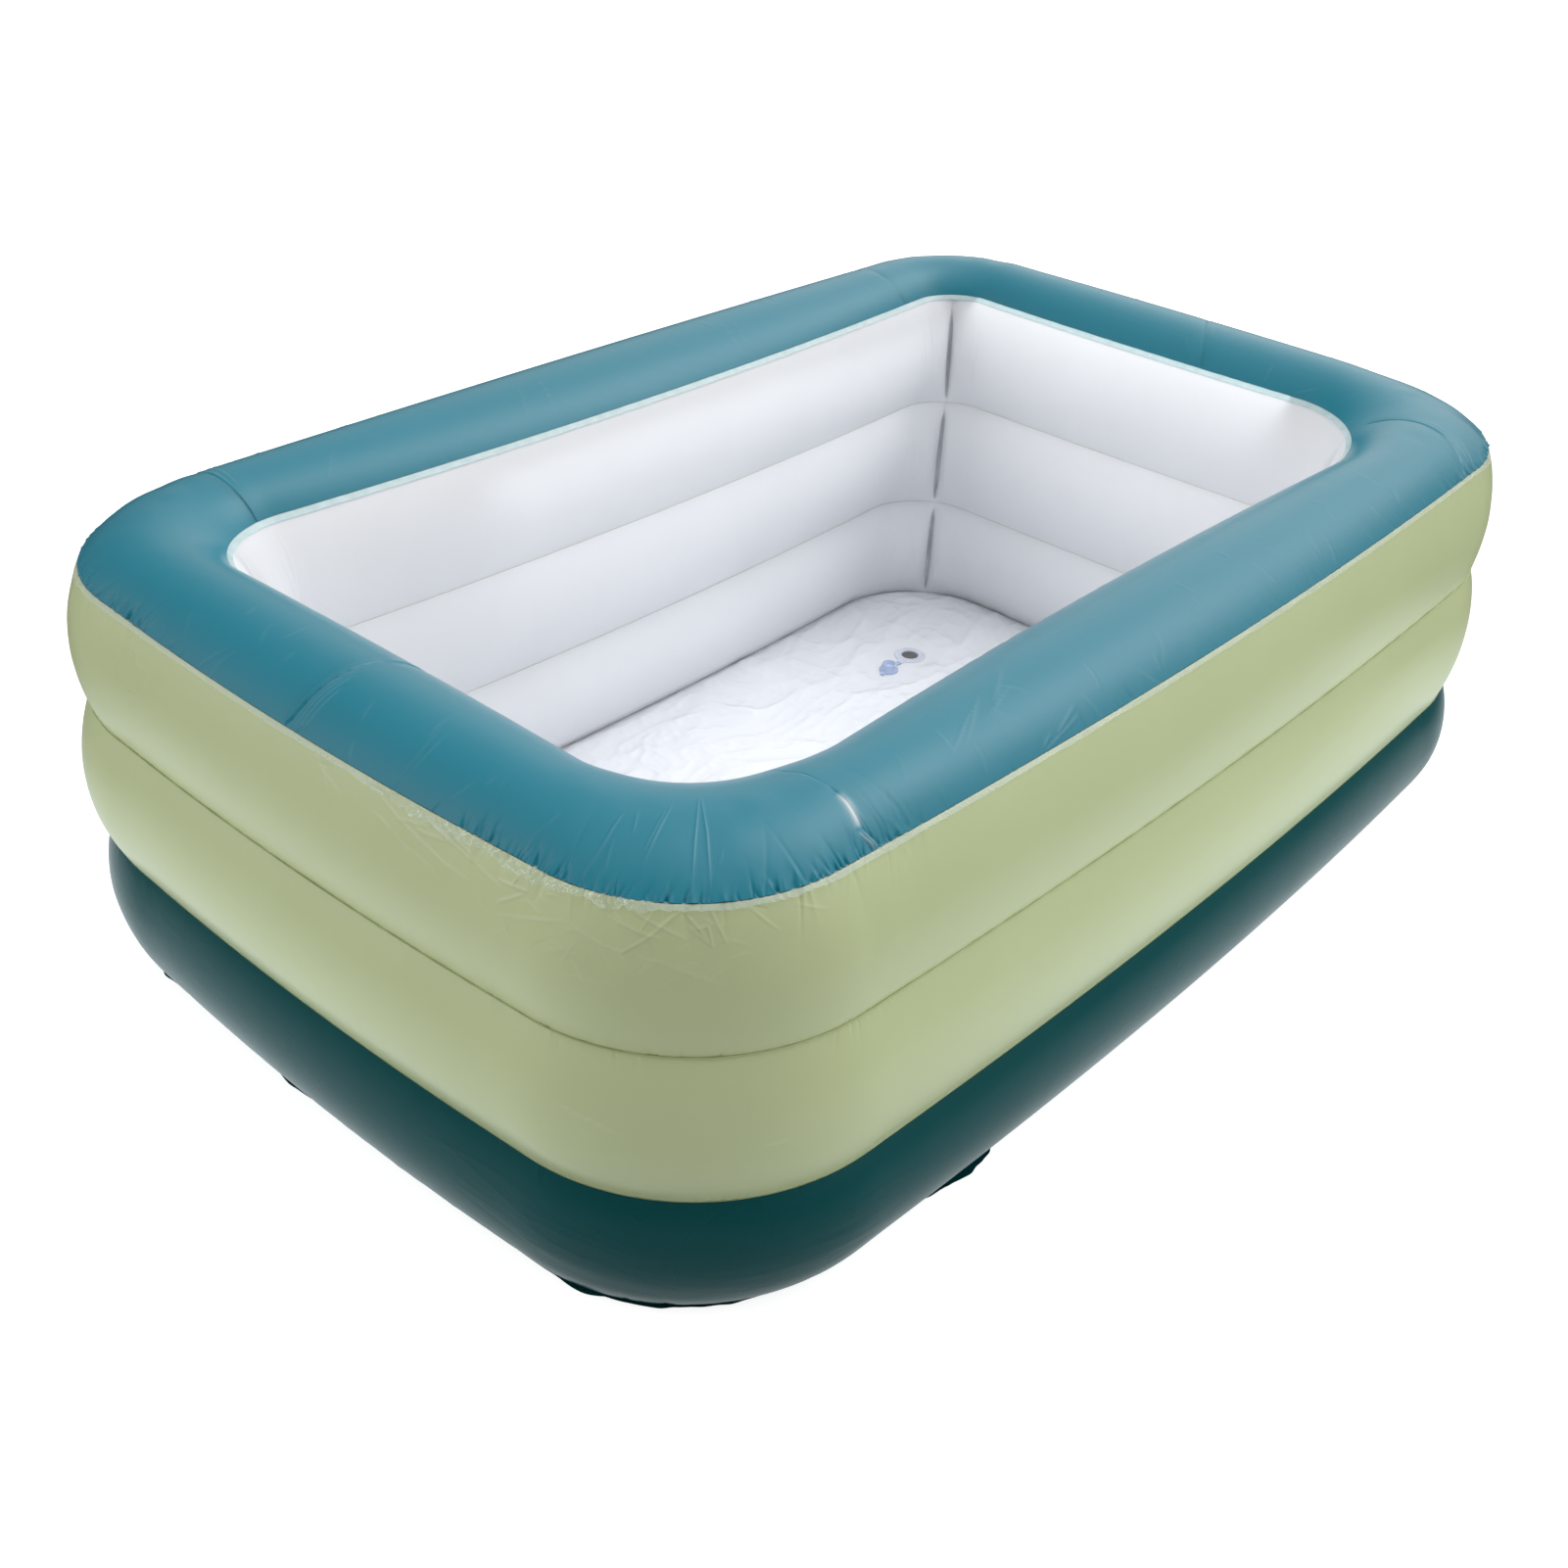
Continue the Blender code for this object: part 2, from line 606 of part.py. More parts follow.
def facet_frame(rows, column, step):
    """The middle of one facet of a wall: local +Z points out of it and local +Y up along it."""
    low, low_next = rows[column][step], rows[column + 1][step]
    high, high_next = rows[column][step + 1], rows[column + 1][step + 1]
    middle = (low + low_next + high + high_next) / 4
    out = (low_next - low + high_next - high).cross(high - low + high_next - low_next).normalized()
    up = (high + high_next - low - low_next).normalized()
    side = up.cross(out).normalized()
    turn = Matrix((side, out.cross(side), out)).transposed().to_4x4()
    return Matrix.Translation(middle) @ turn


def build_valve(ring, wall, rows):
    """One ring's air valve: welded seat, neck that pushes in, stopper on its strap, inner flap."""
    frame = facet_frame(rows, RIGHT_START + len(SHORT_SIDE_SHARES) // 2, BULGE_STEPS // 2)
    neck_radius = NECK_BORE_RADIUS + NECK_WALL
    hole_radius = neck_radius + NECK_CLEARANCE
    hole = rod(ring + "_valve_hole", hole_radius, -CUT_OVERRUN, CUT_OVERRUN, VALVE_STEPS, frame)
    boolean(wall, hole, "DIFFERENCE")

    low = SEAM_GAP
    seat_top = low + VALVE_SEAT_THICKNESS
    collar_top = low + VALVE_COLLAR_HEIGHT
    turned(ring + "_valve_seat", [
        (hole_radius, collar_top),
        (VALVE_COLLAR_RADIUS, collar_top),
        (VALVE_COLLAR_RADIUS + MOULDED_EDGE, seat_top),
        (VALVE_SEAT_RADIUS - MOULDED_EDGE, seat_top),
        (VALVE_SEAT_RADIUS, low),
        (hole_radius, low)], VALVE_STEPS, frame, valve_blue)

    lip_low = collar_top + SEAM_GAP
    lip_top = lip_low + NECK_LIP_THICKNESS
    neck_end = -NECK_LENGTH
    slide = add_axis(ring + "_valve_slide", frame, (0, 0, 0))
    neck = turned(ring + "_valve_neck", [
        (NECK_BORE_RADIUS, lip_top),
        (NECK_LIP_RADIUS, lip_top),
        (NECK_LIP_RADIUS, lip_low),
        (neck_radius, lip_low),
        (neck_radius, neck_end + NECK_STOP_THICKNESS),
        (NECK_STOP_RADIUS, neck_end + NECK_STOP_THICKNESS),
        (NECK_STOP_RADIUS, neck_end),
        (NECK_BORE_RADIUS, neck_end)], VALVE_STEPS, frame, valve_blue)
    ear = block(ring + "_valve_ear",
                (-VALVE_EAR_WIDTH / 2, -VALVE_HINGE_DISTANCE - VALVE_EAR_END, lip_low + SEAM_GAP / 2),
                (VALVE_EAR_WIDTH / 2, -neck_radius, lip_top - SEAM_GAP / 2), frame)
    boolean(neck, ear, "UNION")
    hang_on(neck, slide)

    cap_low = lip_top + SEAM_GAP
    strap_low = cap_low + STRAP_STEP
    strap_high = strap_low + PLUG_STRAP_THICKNESS
    cap_high = strap_high + STRAP_STEP
    root_radius = NECK_BORE_RADIUS - PLUG_CLEARANCE
    hinge = add_axis(ring + "_valve_stopper_hinge", frame,
                     (0, -VALVE_HINGE_DISTANCE, (strap_low + strap_high) / 2))
    stopper = turned(ring + "_valve_stopper", [
        (0, cap_high),
        (PLUG_CAP_RADIUS, cap_high),
        (PLUG_CAP_RADIUS, cap_low),
        (root_radius, cap_low),
        (root_radius - PLUG_TAPER, cap_low - PLUG_LENGTH),
        (0, cap_low - PLUG_LENGTH)], VALVE_STEPS, frame, valve_blue)
    strap = block(ring + "_valve_strap", (-PLUG_STRAP_WIDTH / 2, -VALVE_HINGE_DISTANCE, strap_low),
                  (PLUG_STRAP_WIDTH / 2, -root_radius, strap_high), frame)
    tab = block(ring + "_valve_pull_tab", (-PLUG_STRAP_WIDTH / 2, root_radius, strap_low),
                (PLUG_STRAP_WIDTH / 2, PLUG_CAP_RADIUS + PLUG_TAB_LENGTH, strap_high), frame)
    boolean(stopper, strap, "UNION")
    boolean(stopper, tab, "UNION")
    hang_on(stopper, hinge)

    flap_high = neck_end - SEAM_GAP
    flap_low = flap_high - FLAP_THICKNESS
    hinge = add_axis(ring + "_valve_flap_hinge", frame, (0, FLAP_RADIUS, (flap_low + flap_high) / 2))
    flap = turned(ring + "_valve_flap", [
        (0, flap_high),
        (FLAP_RADIUS, flap_high),
        (FLAP_RADIUS, flap_low),
        (0, flap_low)], VALVE_STEPS, frame, valve_blue)
    hang_on(flap, hinge)


clear_scene()
parts = new_collection("inflatable_family_pool")
cutters = new_collection("cutters")
teal = new_material("teal vinyl", (0.048, 0.225, 0.283), 0.38)
light_green = new_material("light green vinyl", (0.515, 0.584, 0.361), 0.36)
dark_green = new_material("dark green vinyl", (0.022, 0.085, 0.088), 0.36)
white = new_material("white vinyl", (0.800, 0.800, 0.815), 0.34)
clear = new_material("clear vinyl", (0.640, 0.740, 0.760), 0.20, 0.6)
valve_blue = new_material("pale blue valve plastic", (0.420, 0.540, 0.900), 0.30, 0.9)

ring_walls = build_walls()
build_webs()
build_rim()
base_sheet, floor_sheet = build_bottom()
build_drain(base_sheet, floor_sheet)
for ring_name, (wall_item, wall_rows) in ring_walls.items():
    build_valve(ring_name, wall_item, wall_rows)
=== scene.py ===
"""Looks of the inflatable family pool: every vinyl sheet with its wrinkles, welds and gloss.

Metres, +Z up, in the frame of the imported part. The weld lines repeat the part's driving sizes, and
each sheet is a fine mesh between two of them, with its folds as relief on that mesh.
"""

import math

import bpy
import numpy as np
from mathutils import Matrix, Vector


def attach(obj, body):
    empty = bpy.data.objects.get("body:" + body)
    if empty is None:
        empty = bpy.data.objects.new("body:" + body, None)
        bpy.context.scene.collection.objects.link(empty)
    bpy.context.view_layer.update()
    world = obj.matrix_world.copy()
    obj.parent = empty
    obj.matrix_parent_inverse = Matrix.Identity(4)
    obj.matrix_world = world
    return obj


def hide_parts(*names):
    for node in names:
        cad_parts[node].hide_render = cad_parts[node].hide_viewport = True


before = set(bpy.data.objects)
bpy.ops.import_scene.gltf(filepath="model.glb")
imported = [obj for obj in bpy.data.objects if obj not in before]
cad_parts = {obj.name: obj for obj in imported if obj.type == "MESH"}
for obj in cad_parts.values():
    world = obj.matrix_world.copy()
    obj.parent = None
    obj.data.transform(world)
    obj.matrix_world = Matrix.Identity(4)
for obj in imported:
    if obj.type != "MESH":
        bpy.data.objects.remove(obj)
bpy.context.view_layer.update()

# Outer weld line of the rim
RIM_HALF_LENGTH = 0.980
RIM_HALF_WIDTH = 0.6035
RIM_CORNER_RADIUS = 0.213
OUTER_BOWS = (0.035, 0.0365)
OUTER_SMOOTHING = 0.030

# Ring heights between the weld lines
BOTTOM_RING_HEIGHT = 0.205
MIDDLE_RING_HEIGHT = 0.210
TOP_RING_HEIGHT = 0.190
RIM_CROWN = 0.044

# Other weld lines: how far each lies outside or inside the rim's, along X and Y, and its corners
UPPER_CREASE = (0.010, 0.025, 0.250)
LOWER_CREASE = (0.007, 0.035, 0.267)
BASE_WELD = (-0.019, -0.003, 0.245)
UPPER_INNER_WELD = (-0.189, -0.160, 0.102)
LOWER_INNER_WELD = (-0.191, -0.1255, 0.130)
FLOOR_WELD = (-0.159, -0.1025, 0.200)
INNER_BOWS = (-0.0286, -0.0065)
INNER_SMOOTHING = 0.012

# The rim's inner weld line, whose corners are all unlike: right, back, left and front
RIM_INNER_OUTSETS = (-0.1415, -0.1308)
RIM_INNER_CORNERS = ((0.247, 0.198), (0.094, 0.090), (0.140, 0.130), (0.225, 0.178))
RIM_INNER_BOWS = (-0.033, -0.0122)

# How far the air pushes each wall out past its weld lines, on the short and the long sides
TOP_BULGE = (0.0205, 0.016)
MIDDLE_BULGE = (0.027, 0.0175)
BOTTOM_BULGE = (0.028, 0.0395)
INNER_BULGE = 0.030
CORNER_FOLD_SHARE = 0.20
CORNER_FOLD_SHARPNESS = 4.6

# Drain in the floor
DRAIN_PLACE = (0.544, 0.266)
DRAIN_BORE_RADIUS = 0.016
DRAIN_CLEAR_RADIUS = 0.036
DRAIN_FLANGE_RADIUS = 0.030

SHEET_THICKNESS = 0.0004
SEAM_GAP = 0.0003
WELD_STACK = SHEET_THICKNESS / 2 + SEAM_GAP
BASE_TOP = SHEET_THICKNESS
FLOOR_TOP = BASE_TOP + SEAM_GAP + SHEET_THICKNESS
LOWER_CREASE_Z = BOTTOM_RING_HEIGHT
UPPER_CREASE_Z = LOWER_CREASE_Z + MIDDLE_RING_HEIGHT
RIM_Z = UPPER_CREASE_Z + TOP_RING_HEIGHT

# Each corner's signs along X and Y, its name, and the side that comes before it
CORNER_SIGNS = {"right": (1, -1), "back": (1, 1), "left": (-1, 1), "front": (-1, -1)}
SIDE_BEFORE = {"right": "front", "back": "right", "left": "back", "front": "left"}
FAN_SETBACK_X = 0.067
FAN_SETBACK_Y = 0.050
FAN_X = RIM_HALF_LENGTH - RIM_CORNER_RADIUS - FAN_SETBACK_X
FAN_Y = RIM_HALF_WIDTH - RIM_CORNER_RADIUS - FAN_SETBACK_Y
FAN_PATH = FAN_SETBACK_X + RIM_CORNER_RADIUS * math.pi / 2 + FAN_SETBACK_Y
FIRST_RAY_SHARE = FAN_SETBACK_X / FAN_PATH
CROSSING_HALVINGS = 30
SEED = 7


class Columns:
    """Rays seen from above, one for each column of a sheet, from the front side's -X end.

    Along the sides they run square to the pool. At the corners they fan out from four points
    inside it, through even steps of the rim's outer line, and may crowd together in the middle.
    """

    def __init__(self, side_counts, corner_counts, crowding=0.0):
        starts, directions, folds, self.regions = [], [], [], {}
        total = 0
        for corner, (sign_x, sign_y) in CORNER_SIGNS.items():
            after_long_side = sign_x != sign_y
            side = SIDE_BEFORE[corner]
            count = side_counts[side]
            share = np.arange(count + 1) / count
            self.regions["side", side] = (total, share)
            total += count
            run = 2 * share[:-1] - 1
            still = np.zeros(count)
            if after_long_side:
                starts.append(np.stack((sign_x * FAN_X * run, still), 1))
                directions.append(np.stack((still, still + sign_y), 1))
            else:
                starts.append(np.stack((still, sign_y * FAN_Y * run), 1))
                directions.append(np.stack((still + sign_x, still), 1))
            folds.append(still)
            count = corner_counts[corner]
            share = np.arange(count + 1) / count
            share = share + crowding * np.sin(2 * math.pi * share) / (2 * math.pi)
            self.regions["corner", corner] = (total, share)
            total += count
            gone = FAN_PATH * (share[:-1] if after_long_side else 1 - share[:-1])
            turn = np.clip((gone - FAN_SETBACK_X) / RIM_CORNER_RADIUS, 0, math.pi / 2)
            last = np.maximum(gone - FAN_PATH + FAN_SETBACK_Y, 0)
            across_x = np.minimum(gone, FAN_SETBACK_X) + RIM_CORNER_RADIUS * np.sin(turn)
            across_y = FAN_SETBACK_Y - last + RIM_CORNER_RADIUS * np.cos(turn)
            starts.append(np.tile((sign_x * FAN_X, sign_y * FAN_Y), (count, 1)))
            directions.append(unit(np.stack((sign_x * across_x, sign_y * across_y), 1)))
            folds.append(1 - np.abs(4 * turn / math.pi - 1))
        self.count = total
        self.starts = np.concatenate(starts)
        self.directions = np.concatenate(directions)
        self.folds = np.concatenate(folds)

    def at(self, kind, name, share):
        """The column, with its fraction, at a share of a side or corner."""
        start, shares = self.regions[kind, name]
        return start + float(np.interp(share, shares, np.arange(len(shares))))

    def line(self, outset_x, outset_y, corners, bows, smoothing):
        """A weld line's points, one where each ray meets a rectangle with bowed sides."""
        half_length = RIM_HALF_LENGTH + outset_x
        half_width = RIM_HALF_WIDTH + outset_y
        near = np.zeros(self.count)
        far = np.full(self.count, half_length + half_width)
        for _ in range(CROSSING_HALVINGS):
            middle = (near + far) / 2
            points = self.starts + self.directions * middle[:, None]
            within = inside_line(points, half_length, half_width, corners, *bows)
            near = np.where(within, middle, near)
            far = np.where(within, far, middle)
        return smoothed(self.starts + self.directions * near[:, None], smoothing)

    def outer(self, sizes):
        return self.line(*sizes[:2], [(sizes[2], sizes[2])] * 4, OUTER_BOWS, OUTER_SMOOTHING)

    def inner(self, sizes):
        return self.line(*sizes[:2], [(sizes[2], sizes[2])] * 4, INNER_BOWS, INNER_SMOOTHING)


def inside_line(points, half_length, half_width, corners, long_bow, short_bow):
    """Which points lie inside a rectangle with bowed sides and elliptical corners."""
    signs = list(CORNER_SIGNS.values())
    corner = np.zeros(len(points), int)
    for index, (sign_x, sign_y) in enumerate(signs):
        corner[(points[:, 0] * sign_x >= 0) & (points[:, 1] * sign_y >= 0)] = index
    radius_x, radius_y = np.asarray(corners)[corner].T
    x, y = np.abs(points).T
    centre_x = half_length - radius_x
    centre_y = half_width - radius_y
    on_side = ((x < half_length + short_bow * (1 - (y / half_width) ** 2))
               & (y < half_width + long_bow * (1 - (x / half_length) ** 2)))
    reach_x = radius_x + short_bow * (1 - (centre_y / half_width) ** 2)
    reach_y = radius_y + long_bow * (1 - (centre_x / half_length) ** 2)
    in_corner = ((x - centre_x) / reach_x) ** 2 + ((y - centre_y) / reach_y) ** 2 < 1
    return np.where((x < centre_x) | (y < centre_y), on_side, in_corner)


def smoothed(line, reach):
    """A closed line with its kinks rounded over a reach, and its size kept."""
    around, length = girth(line)
    gap = np.abs(around[:, None] - around[None, :])
    gap = np.minimum(gap, length - gap)
    steps = (np.roll(around, -1) - np.roll(around, 1)) % length
    weight = np.exp(-(gap / reach) ** 2) * steps[None, :]
    weight /= weight.sum(1, keepdims=True)
    once = weight @ line
    return 2 * once - weight @ once


def unit(vectors):
    return vectors / np.maximum(np.linalg.norm(vectors, axis=-1, keepdims=True), 1e-12)


def outward(line):
    """Unit normals of a weld line, pointing away from the pool's middle."""
    along = np.roll(line, -1, 0) - np.roll(line, 1, 0)
    return unit(np.stack((along[:, 1], -along[:, 0]), 1))


def at_height(line, height, outset=0.0):
    """A weld line's points at a height, moved outward by an outset that may vary."""
    points = line + outward(line) * np.reshape(outset, (-1, 1))
    return np.column_stack((points, np.zeros(len(line)) + height))


def edge_shares(count, crowding=0.55):
    """Shares from 0 to 1 that lie closer together near both ends."""
    even = np.linspace(0, 1, count)
    eased = (1 - np.cos(math.pi * even)) / 2
    return even * (1 - crowding) + eased * crowding


def arcs(start, end, sagitta, side, shares):
    """Circular arcs from start to end that rise by sagitta towards side, as columns by rows."""
    chord = end - start
    length = np.linalg.norm(chord, axis=1, keepdims=True)
    along = chord / length
    rise = unit(side - along * np.sum(side * along, 1, keepdims=True))
    sagitta = np.broadcast_to(np.asarray(sagitta, float).reshape(-1, 1), length.shape)
    radius = (length ** 2 / 4 + sagitta ** 2) / (2 * sagitta)
    half_angle = np.arctan2(length / 2, radius - sagitta)
    centre = (start + end) / 2 - rise * (radius - sagitta)
    angle = half_angle * (2 * shares[None, :] - 1)
    return (centre[:, None] + (along[:, None] * np.sin(angle)[..., None]
                               + rise[:, None] * np.cos(angle)[..., None]) * radius[:, None])


def girth(points):
    """Distance along a closed line of points, and its whole length."""
    steps = np.linalg.norm(np.roll(points, -1, 0) - points, axis=1)
    return np.concatenate(([0.0], np.cumsum(steps)[:-1])), float(steps.sum())


def smooth_step(value):
    value = np.clip(value, 0, 1)
    return value * value * (3 - 2 * value)


def lattice_noise(x, y, seed):
    """Smooth noise from -1 to 1 on a unit lattice."""
    x, y = np.broadcast_arrays(x, y)
    rng = np.random.default_rng(seed)
    table = rng.uniform(-1, 1, (64, 64))
    x0 = np.floor(x).astype(int)
    y0 = np.floor(y).astype(int)
    fx = smooth_step(x - x0)
    fy = smooth_step(y - y0)
    low = table[x0 % 64, y0 % 64] * (1 - fx) + table[(x0 + 1) % 64, y0 % 64] * fx
    high = table[x0 % 64, (y0 + 1) % 64] * (1 - fx) + table[(x0 + 1) % 64, (y0 + 1) % 64] * fx
    return low * (1 - fy) + high * fy


def fold_height(x, y, line, width, height, taper=0.5, lap=0.0):
    """Height of a fine fold along a line of points: a ridge, or a valley if height is negative.

    A lap is a step on the line's left that dies away over a distance of its own.
    """
    nearest = np.full(np.broadcast(x, y).shape, np.inf)
    share = np.zeros_like(nearest)
    side = np.zeros_like(nearest)
    lengths = [math.hypot(x1 - x0, y1 - y0) for (x0, y0), (x1, y1) in zip(line, line[1:])]
    gone = 0.0
    for (x0, y0), (x1, y1), length in zip(line, line[1:], lengths):
        run_x, run_y = (x1 - x0) / length, (y1 - y0) / length
        along = np.clip((x - x0) * run_x + (y - y0) * run_y, 0, length)
        off_x = x - x0 - along * run_x
        off_y = y - y0 - along * run_y
        distance = np.hypot(off_x, off_y)
        closer = distance < nearest
        nearest = np.where(closer, distance, nearest)
        share = np.where(closer, (gone + along) / sum(lengths), share)
        side = np.where(closer, run_x * off_y - run_y * off_x, side)
        gone += length
    fade = np.sin(math.pi * np.clip(share, 0, 1)) ** taper
    result = height * np.exp(-(nearest / width) ** 1.5) * fade
    if lap:
        result = result + height * -np.exp(-nearest / lap) * fade * (side > 0)
    return result


def bowed(start, end, bend, steps=6):
    """Points on a shallow arc from start to end, which leaves the chord by a share of it."""
    (x0, y0), (x1, y1) = start, end
    points = []
    for step in range(steps + 1):
        share = step / steps
        aside = bend * 4 * share * (1 - share)
        points.append((x0 + (x1 - x0) * share - (y1 - y0) * aside,
                       y0 + (y1 - y0) * share + (x1 - x0) * aside))
    return points


class Relief:
    """Height added to a sheet: columns round the pool by rows across the sheet."""

    def __init__(self, grid, columns):
        self.grid = grid
        self.columns = columns
        self.around, self.length = girth(grid[:, grid.shape[1] // 2])
        steps = np.linalg.norm(np.diff(grid, axis=1), axis=2)
        self.across = np.concatenate((np.zeros((len(grid), 1)), np.cumsum(steps, 1)), 1)
        self.width = float(self.across[:, -1].mean())
        self.height = np.zeros(grid.shape[:2])
        # Colour tint of each point: paler above 0, partly whitened film and partly painted glints;
        # darker below 0, as painted shade
        self.pale = np.zeros(grid.shape[:2])

    def place(self, kind, name, share):
        """Distance round the pool of a place on a side or corner."""
        return float(np.interp(self.columns.at(kind, name, share),
                               np.arange(self.columns.count + 1),
                               np.append(self.around, self.length)))

    def span(self, kind, name, low=0.0, high=1.0):
        """Two places on a side or corner, the second further round than the first."""
        start = self.place(kind, name, low)
        end = self.place(kind, name, high)
        return start, end if end > start else end + self.length

    def offset(self, place):
        """Signed distance round the pool from a place, for each column."""
        half = self.length / 2
        return (self.around - place + half) % self.length - half

    def fold(self, line, width, height, taper=0.5, lap=0.0, pale=0.0):
        """A fine fold along a line of (distance round, distance across). Its pale share tints it
        paler, partly as whitened film and partly as painted glints, and a negative one darkens it as
        painted shade.
        """
        first = line[0][0]
        line = [(u - first, v) for u, v in line]
        reach = 3 * width + 4 * lap
        offset = self.offset(first)
        low = min(u for u, _ in line) - reach
        high = max(u for u, _ in line) + reach
        near = np.nonzero((offset > low) & (offset < high))[0]
        if len(near):
            x, y = offset[near][:, None], self.across[near]
            self.height[near] += fold_height(x, y, line, width, height, taper, lap)
            if pale:
                tint = fold_height(x, y, line, width, abs(pale), taper)
                if pale > 0:
                    self.pale[near] = np.maximum(self.pale[near], tint)
                else:
                    self.pale[near] = np.minimum(self.pale[near], -tint)

    def pleat(self, place, edge, reach, width, height, lean=0.0):
        """A short fold that starts full at a seam, row 0 or the last, and dies away from it."""
        offset = self.offset(place)
        near = np.nonzero(np.abs(offset) < abs(lean) * reach * 3 + 5 * width)[0]
        across = self.across[near]
        inward = across if edge == 0 else across[:, -1:] - across
        aside = offset[near][:, None] - lean * inward
        spread = width * (0.7 + 0.8 * inward / reach)
        fade = np.exp(-(inward / reach) ** 1.4)
        self.height[near] += height * np.exp(-np.abs(aside / spread) ** 1.6) * fade

    def buckle(self, span, size, height, seed, rows=(0.0, 1.0)):
        """Broad soft waves inside a stretch of the sheet."""
        start, end = span
        middle = (start + end) / 2
        offset = self.offset(middle)
        half = (end - start) / 2
        window = smooth_step((half - np.abs(offset)) / (0.4 * half))[:, None]
        share = self.across / self.across[:, -1:]
        low, high = rows
        band = smooth_step((share - low) / 0.15) * smooth_step((high - share) / 0.15)
        wave = lattice_noise(offset[:, None] / size[0], self.across / size[1], seed)
        self.height += height * wave * window * band

    def displaced(self):
        """The sheet's points, moved out along their normals by the height."""
        along = np.roll(self.grid, -1, 0) - np.roll(self.grid, 1, 0)
        across = np.gradient(self.grid, axis=1)
        normal = unit(np.cross(along, across))
        return self.grid + normal * self.height[..., None]


def scatter_pleats(relief, rng, span, edge, count, reach, width, height):
    """Random puckers along a seam, mostly sunk. The ranges are (least, most)."""
    for _ in range(count):
        relief.pleat(rng.uniform(*span), edge, rng.uniform(*reach), rng.uniform(*width),
                     rng.uniform(*height) * rng.choice(PLEAT_SIGNS), rng.uniform(*PLEAT_LEANS))


def scatter_folds(relief, rng, span, rows, count, length, width, height, slant, pale=0.0):
    """Random fine creases in a window of the sheet, whose rows are shares of its width."""
    for _ in range(count):
        u = rng.uniform(*span)
        v = rng.uniform(*rows) * relief.width
        half = rng.uniform(*length) / 2
        angle = rng.uniform(*slant)
        du, dv = half * math.cos(angle), half * math.sin(angle)
        sign = 1 if rng.random() < RAISED_SHARE else -1
        relief.fold(bowed((u - du, v - dv), (u + du, v + dv), rng.uniform(*FOLD_BENDS)),
                    rng.uniform(*width), rng.uniform(*height) * sign,
                    pale=pale * rng.uniform(*PALE_SHARES))


def scatter(relief, rng, span, steps, density=None):
    """The random creases of a table, on a stretch of a sheet.

    With a density, in creases a metre, a step's number says which part of them it takes.
    """
    for where, number, *sizes in steps:
        if density:
            number = int((span[1] - span[0]) * density) // number
        scatter_kind = scatter_folds if isinstance(where, tuple) else scatter_pleats
        scatter_kind(relief, rng, span, where, number, *sizes)


def crease_sheet(relief, seed, spare, buckle, corner_steps, density, side_steps, webs=(),
                 seen=()):
    """Buckles and random creases at the corners, random ones elsewhere, and those seen."""
    rng = np.random.default_rng(seed)
    size, height, buckle_seed, rows = buckle
    for corner in CORNER_SIGNS:
        span = corner_span(relief, corner, spare)
        relief.buckle(span, size, height, buckle_seed + len(corner), rows)
        scatter(relief, rng, span, corner_steps)
    for side in SIDE_BEFORE.values():
        scatter(relief, rng, relief.span("side", side), side_steps, density)
    for kind, name, low, high, beside, steps in webs:
        start, end = relief.span(kind, name, low, high)
        scatter(relief, rng, (start - beside, end + beside), steps)
    for region in seen:
        hand_folds(relief, *region)


def corner_span(relief, corner, spare=0.0):
    """A corner's stretch of a sheet, with some of the sides beside it."""
    start, end = relief.span("corner", corner)
    return start - spare, end + spare


def hand_folds(relief, kind, name, table, width, height, pale=0.0):
    """Creases seen in the photograph: each has a strength and its shares round and across."""
    for strength, *shares in table:
        spots = [(relief.place(kind, name, shares[index]), shares[index + 1] * relief.width)
                 for index in range(0, len(shares), 2)]
        relief.fold(spots, width, height * strength, pale=pale * strength)


# Creases seen in the photograph, as shares of a region and of the sheet's width: each has a
# strength, then the share round the pool and the share across the sheet of each of its points
FRONT_CORNER_CREASES_SHARES = (
    (1.0, 0.04, 0.72, 0.11, 0.85), (0.8, 0.04, 0.65, 0.22, 0.81),
    (1.0, 0.22, 0.81, 0.27, 0.76, 0.34, 0.71, 0.39, 0.81, 0.46, 0.98),
    (1.0, 0.30, 0.90, 0.38, 0.83, 0.42, 0.81), (0.9, 0.47, 0.88, 0.52, 0.77, 0.51, 0.88, 0.47, 0.86),
    (0.7, 0.19, 0.67, 0.27, 0.63), (0.6, 0.22, 0.51, 0.34, 0.51), (0.7, 0.43, 0.67, 0.55, 0.53),
    (0.9, 0.46, 0.96, 0.51, 0.81), (0.9, 0.34, 0.96, 0.47, 0.81), (0.8, 0.51, 0.99, 0.55, 0.77),
    (1.0, 0.03, 0.85, 0.12, 0.87), (0.6, 0.60, 0.95, 0.66, 0.80), (0.5, 0.70, 0.92, 0.78, 0.83))
LEFT_SIDE_CREASES_SHARES = (
    (1.0, 0.59, 0.96, 0.62, 0.88, 0.64, 0.80),
    (1.0, 0.74, 0.95, 0.81, 0.87, 0.91, 0.78, 0.97, 0.76),
    (1.0, 0.85, 0.96, 0.97, 0.87), (0.8, 0.89, 0.98, 0.98, 0.88))
MIDDLE_CORNER_CREASES_SHARES = ((0.7, 0.64, 0.45, 0.70, 0.45), (0.7, 0.20, 0.66, 0.36, 0.55))
